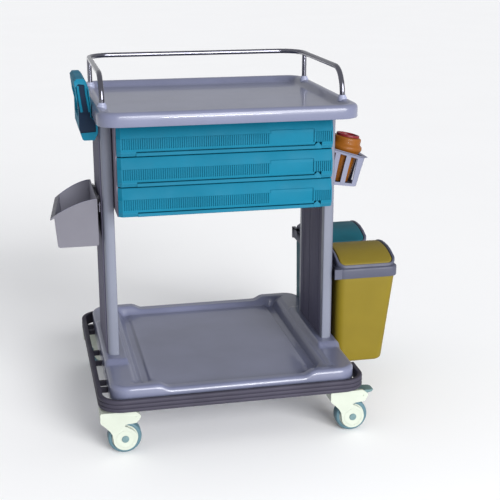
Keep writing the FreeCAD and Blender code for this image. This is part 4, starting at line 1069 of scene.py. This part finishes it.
def make_caster(name, braked):
    low, high = limits(f"caster_{name}_axle")
    hub = (low + high) / 2
    low, high = limits(f"caster_{name}_fork")
    half = (high.y - low.y) / 2
    make_hood(name, hub, half, high.z, braked)
    make_caps(name, hub, half)
    make_wheel(name, hub)
    if braked:
        make_pedal(name, hub)


# ---- the cart ----

make_top_tray()
make_rail()
make_columns()
for drawer in (1, 2, 3):
    make_drawer_front(drawer)
make_base()
make_bumper()
make_handle()
make_storage_bin()
for colour, lid_slot in (("yellow", "bin_yellow_lid"), ("teal", "bin_teal")):
    make_bin(colour, f"bin_{colour}")
    make_flap(colour, lid_slot)
make_sharps_basket()
make_sharps_container()
for caster in ("front_left", "front_right", "rear_left", "rear_right"):
    make_caster(caster, f"caster_{caster}_pedal" in frame["nodes"])

slots = {entry["node"]: entry["material_slot"] for entry in frame["record"]["subparts"]}
for node, thing in frame["nodes"].items():
    thing.data.materials.clear()
    thing.data.materials.append(MATERIALS[slots[node]])


# ---- floor, light and camera ----

def make_floor():
    """A floor that runs to the horizon."""
    shape = bmesh.new()
    half = 300000
    for x, y in ((-half, -half), (half, -half), (half, half), (-half, half)):
        shape.verts.new((x, y, 0))
    shape.faces.new(shape.verts)
    shape.transform(TO_FRAME)
    floor = as_object("floor", shape)
    material, nodes, links, bsdf = shader("pale_floor")
    tone = spread(nodes, links, noise(nodes, links, 1.5, 2), 0, 1)
    links.new(blend_colours(nodes, links, tone, (0.925, 0.925, 0.925), (0.935, 0.935, 0.935)),
              bsdf.inputs["Base Color"])
    bsdf.inputs["Roughness"].default_value = 0.85
    floor.data.materials.append(material)


def make_light(name, kind, energy, place, target, size):
    """A lamp aimed at a target; size is a sun's angle or a panel's width and height."""
    data = bpy.data.lights.new(name, kind)
    data.energy = energy
    if kind == "SUN":
        data.angle = size
    else:
        data.shape = "RECTANGLE"
        data.size, data.size_y = size
    lamp = bpy.data.objects.new(name, data)
    bpy.context.scene.collection.objects.link(lamp)
    lamp.location = place
    aim = Vector(target) - Vector(place)
    lamp.rotation_euler = aim.to_track_quat("-Z", "Y").to_euler()


make_floor()
make_light("sun", "SUN", 4.0, (1.4, -3.75, 1.28), (0, 0, 0), math.radians(38))
make_light("glint", "AREA", 14, (0.35, -2.4, 0.75), (0, 0.2, 0.2), (0.5, 0.16))
world = bpy.data.worlds.new("studio")
bpy.context.scene.world = world
world.use_nodes = True
background = world.node_tree.nodes["Background"]
background.inputs["Color"].default_value = (0.96, 0.97, 1.0, 1)
background.inputs["Strength"].default_value = 0.62
bpy.context.scene.view_settings.view_transform = "Standard"

# The camera was fitted to the straight edges and corners of the photograph.
SENSOR_WIDTH = 36  # millimetres
FOCAL_PIXELS, PICTURE_PIXELS = 1069.39, 500
CAMERA_PLACE = Vector((-488.47, -2656.22, 1219.41))
YAW, PITCH, ROLL = 12.49362, 16.75558, 0.01917  # degrees
camera_data = bpy.data.cameras.new("camera")
camera_data.sensor_width = SENSOR_WIDTH
camera_data.lens = SENSOR_WIDTH * FOCAL_PIXELS / PICTURE_PIXELS
camera_data.clip_end = 200
camera = bpy.data.objects.new("camera", camera_data)
bpy.context.scene.collection.objects.link(camera)
camera.location = CENTRE + CAMERA_PLACE * MM
camera.rotation_euler = (
    Euler((0, 0, math.radians(-YAW))).to_matrix()
    @ Euler((math.radians(90 - PITCH), 0, 0)).to_matrix()
    @ Euler((0, 0, math.radians(ROLL))).to_matrix()).to_euler()
bpy.context.scene.camera = camera
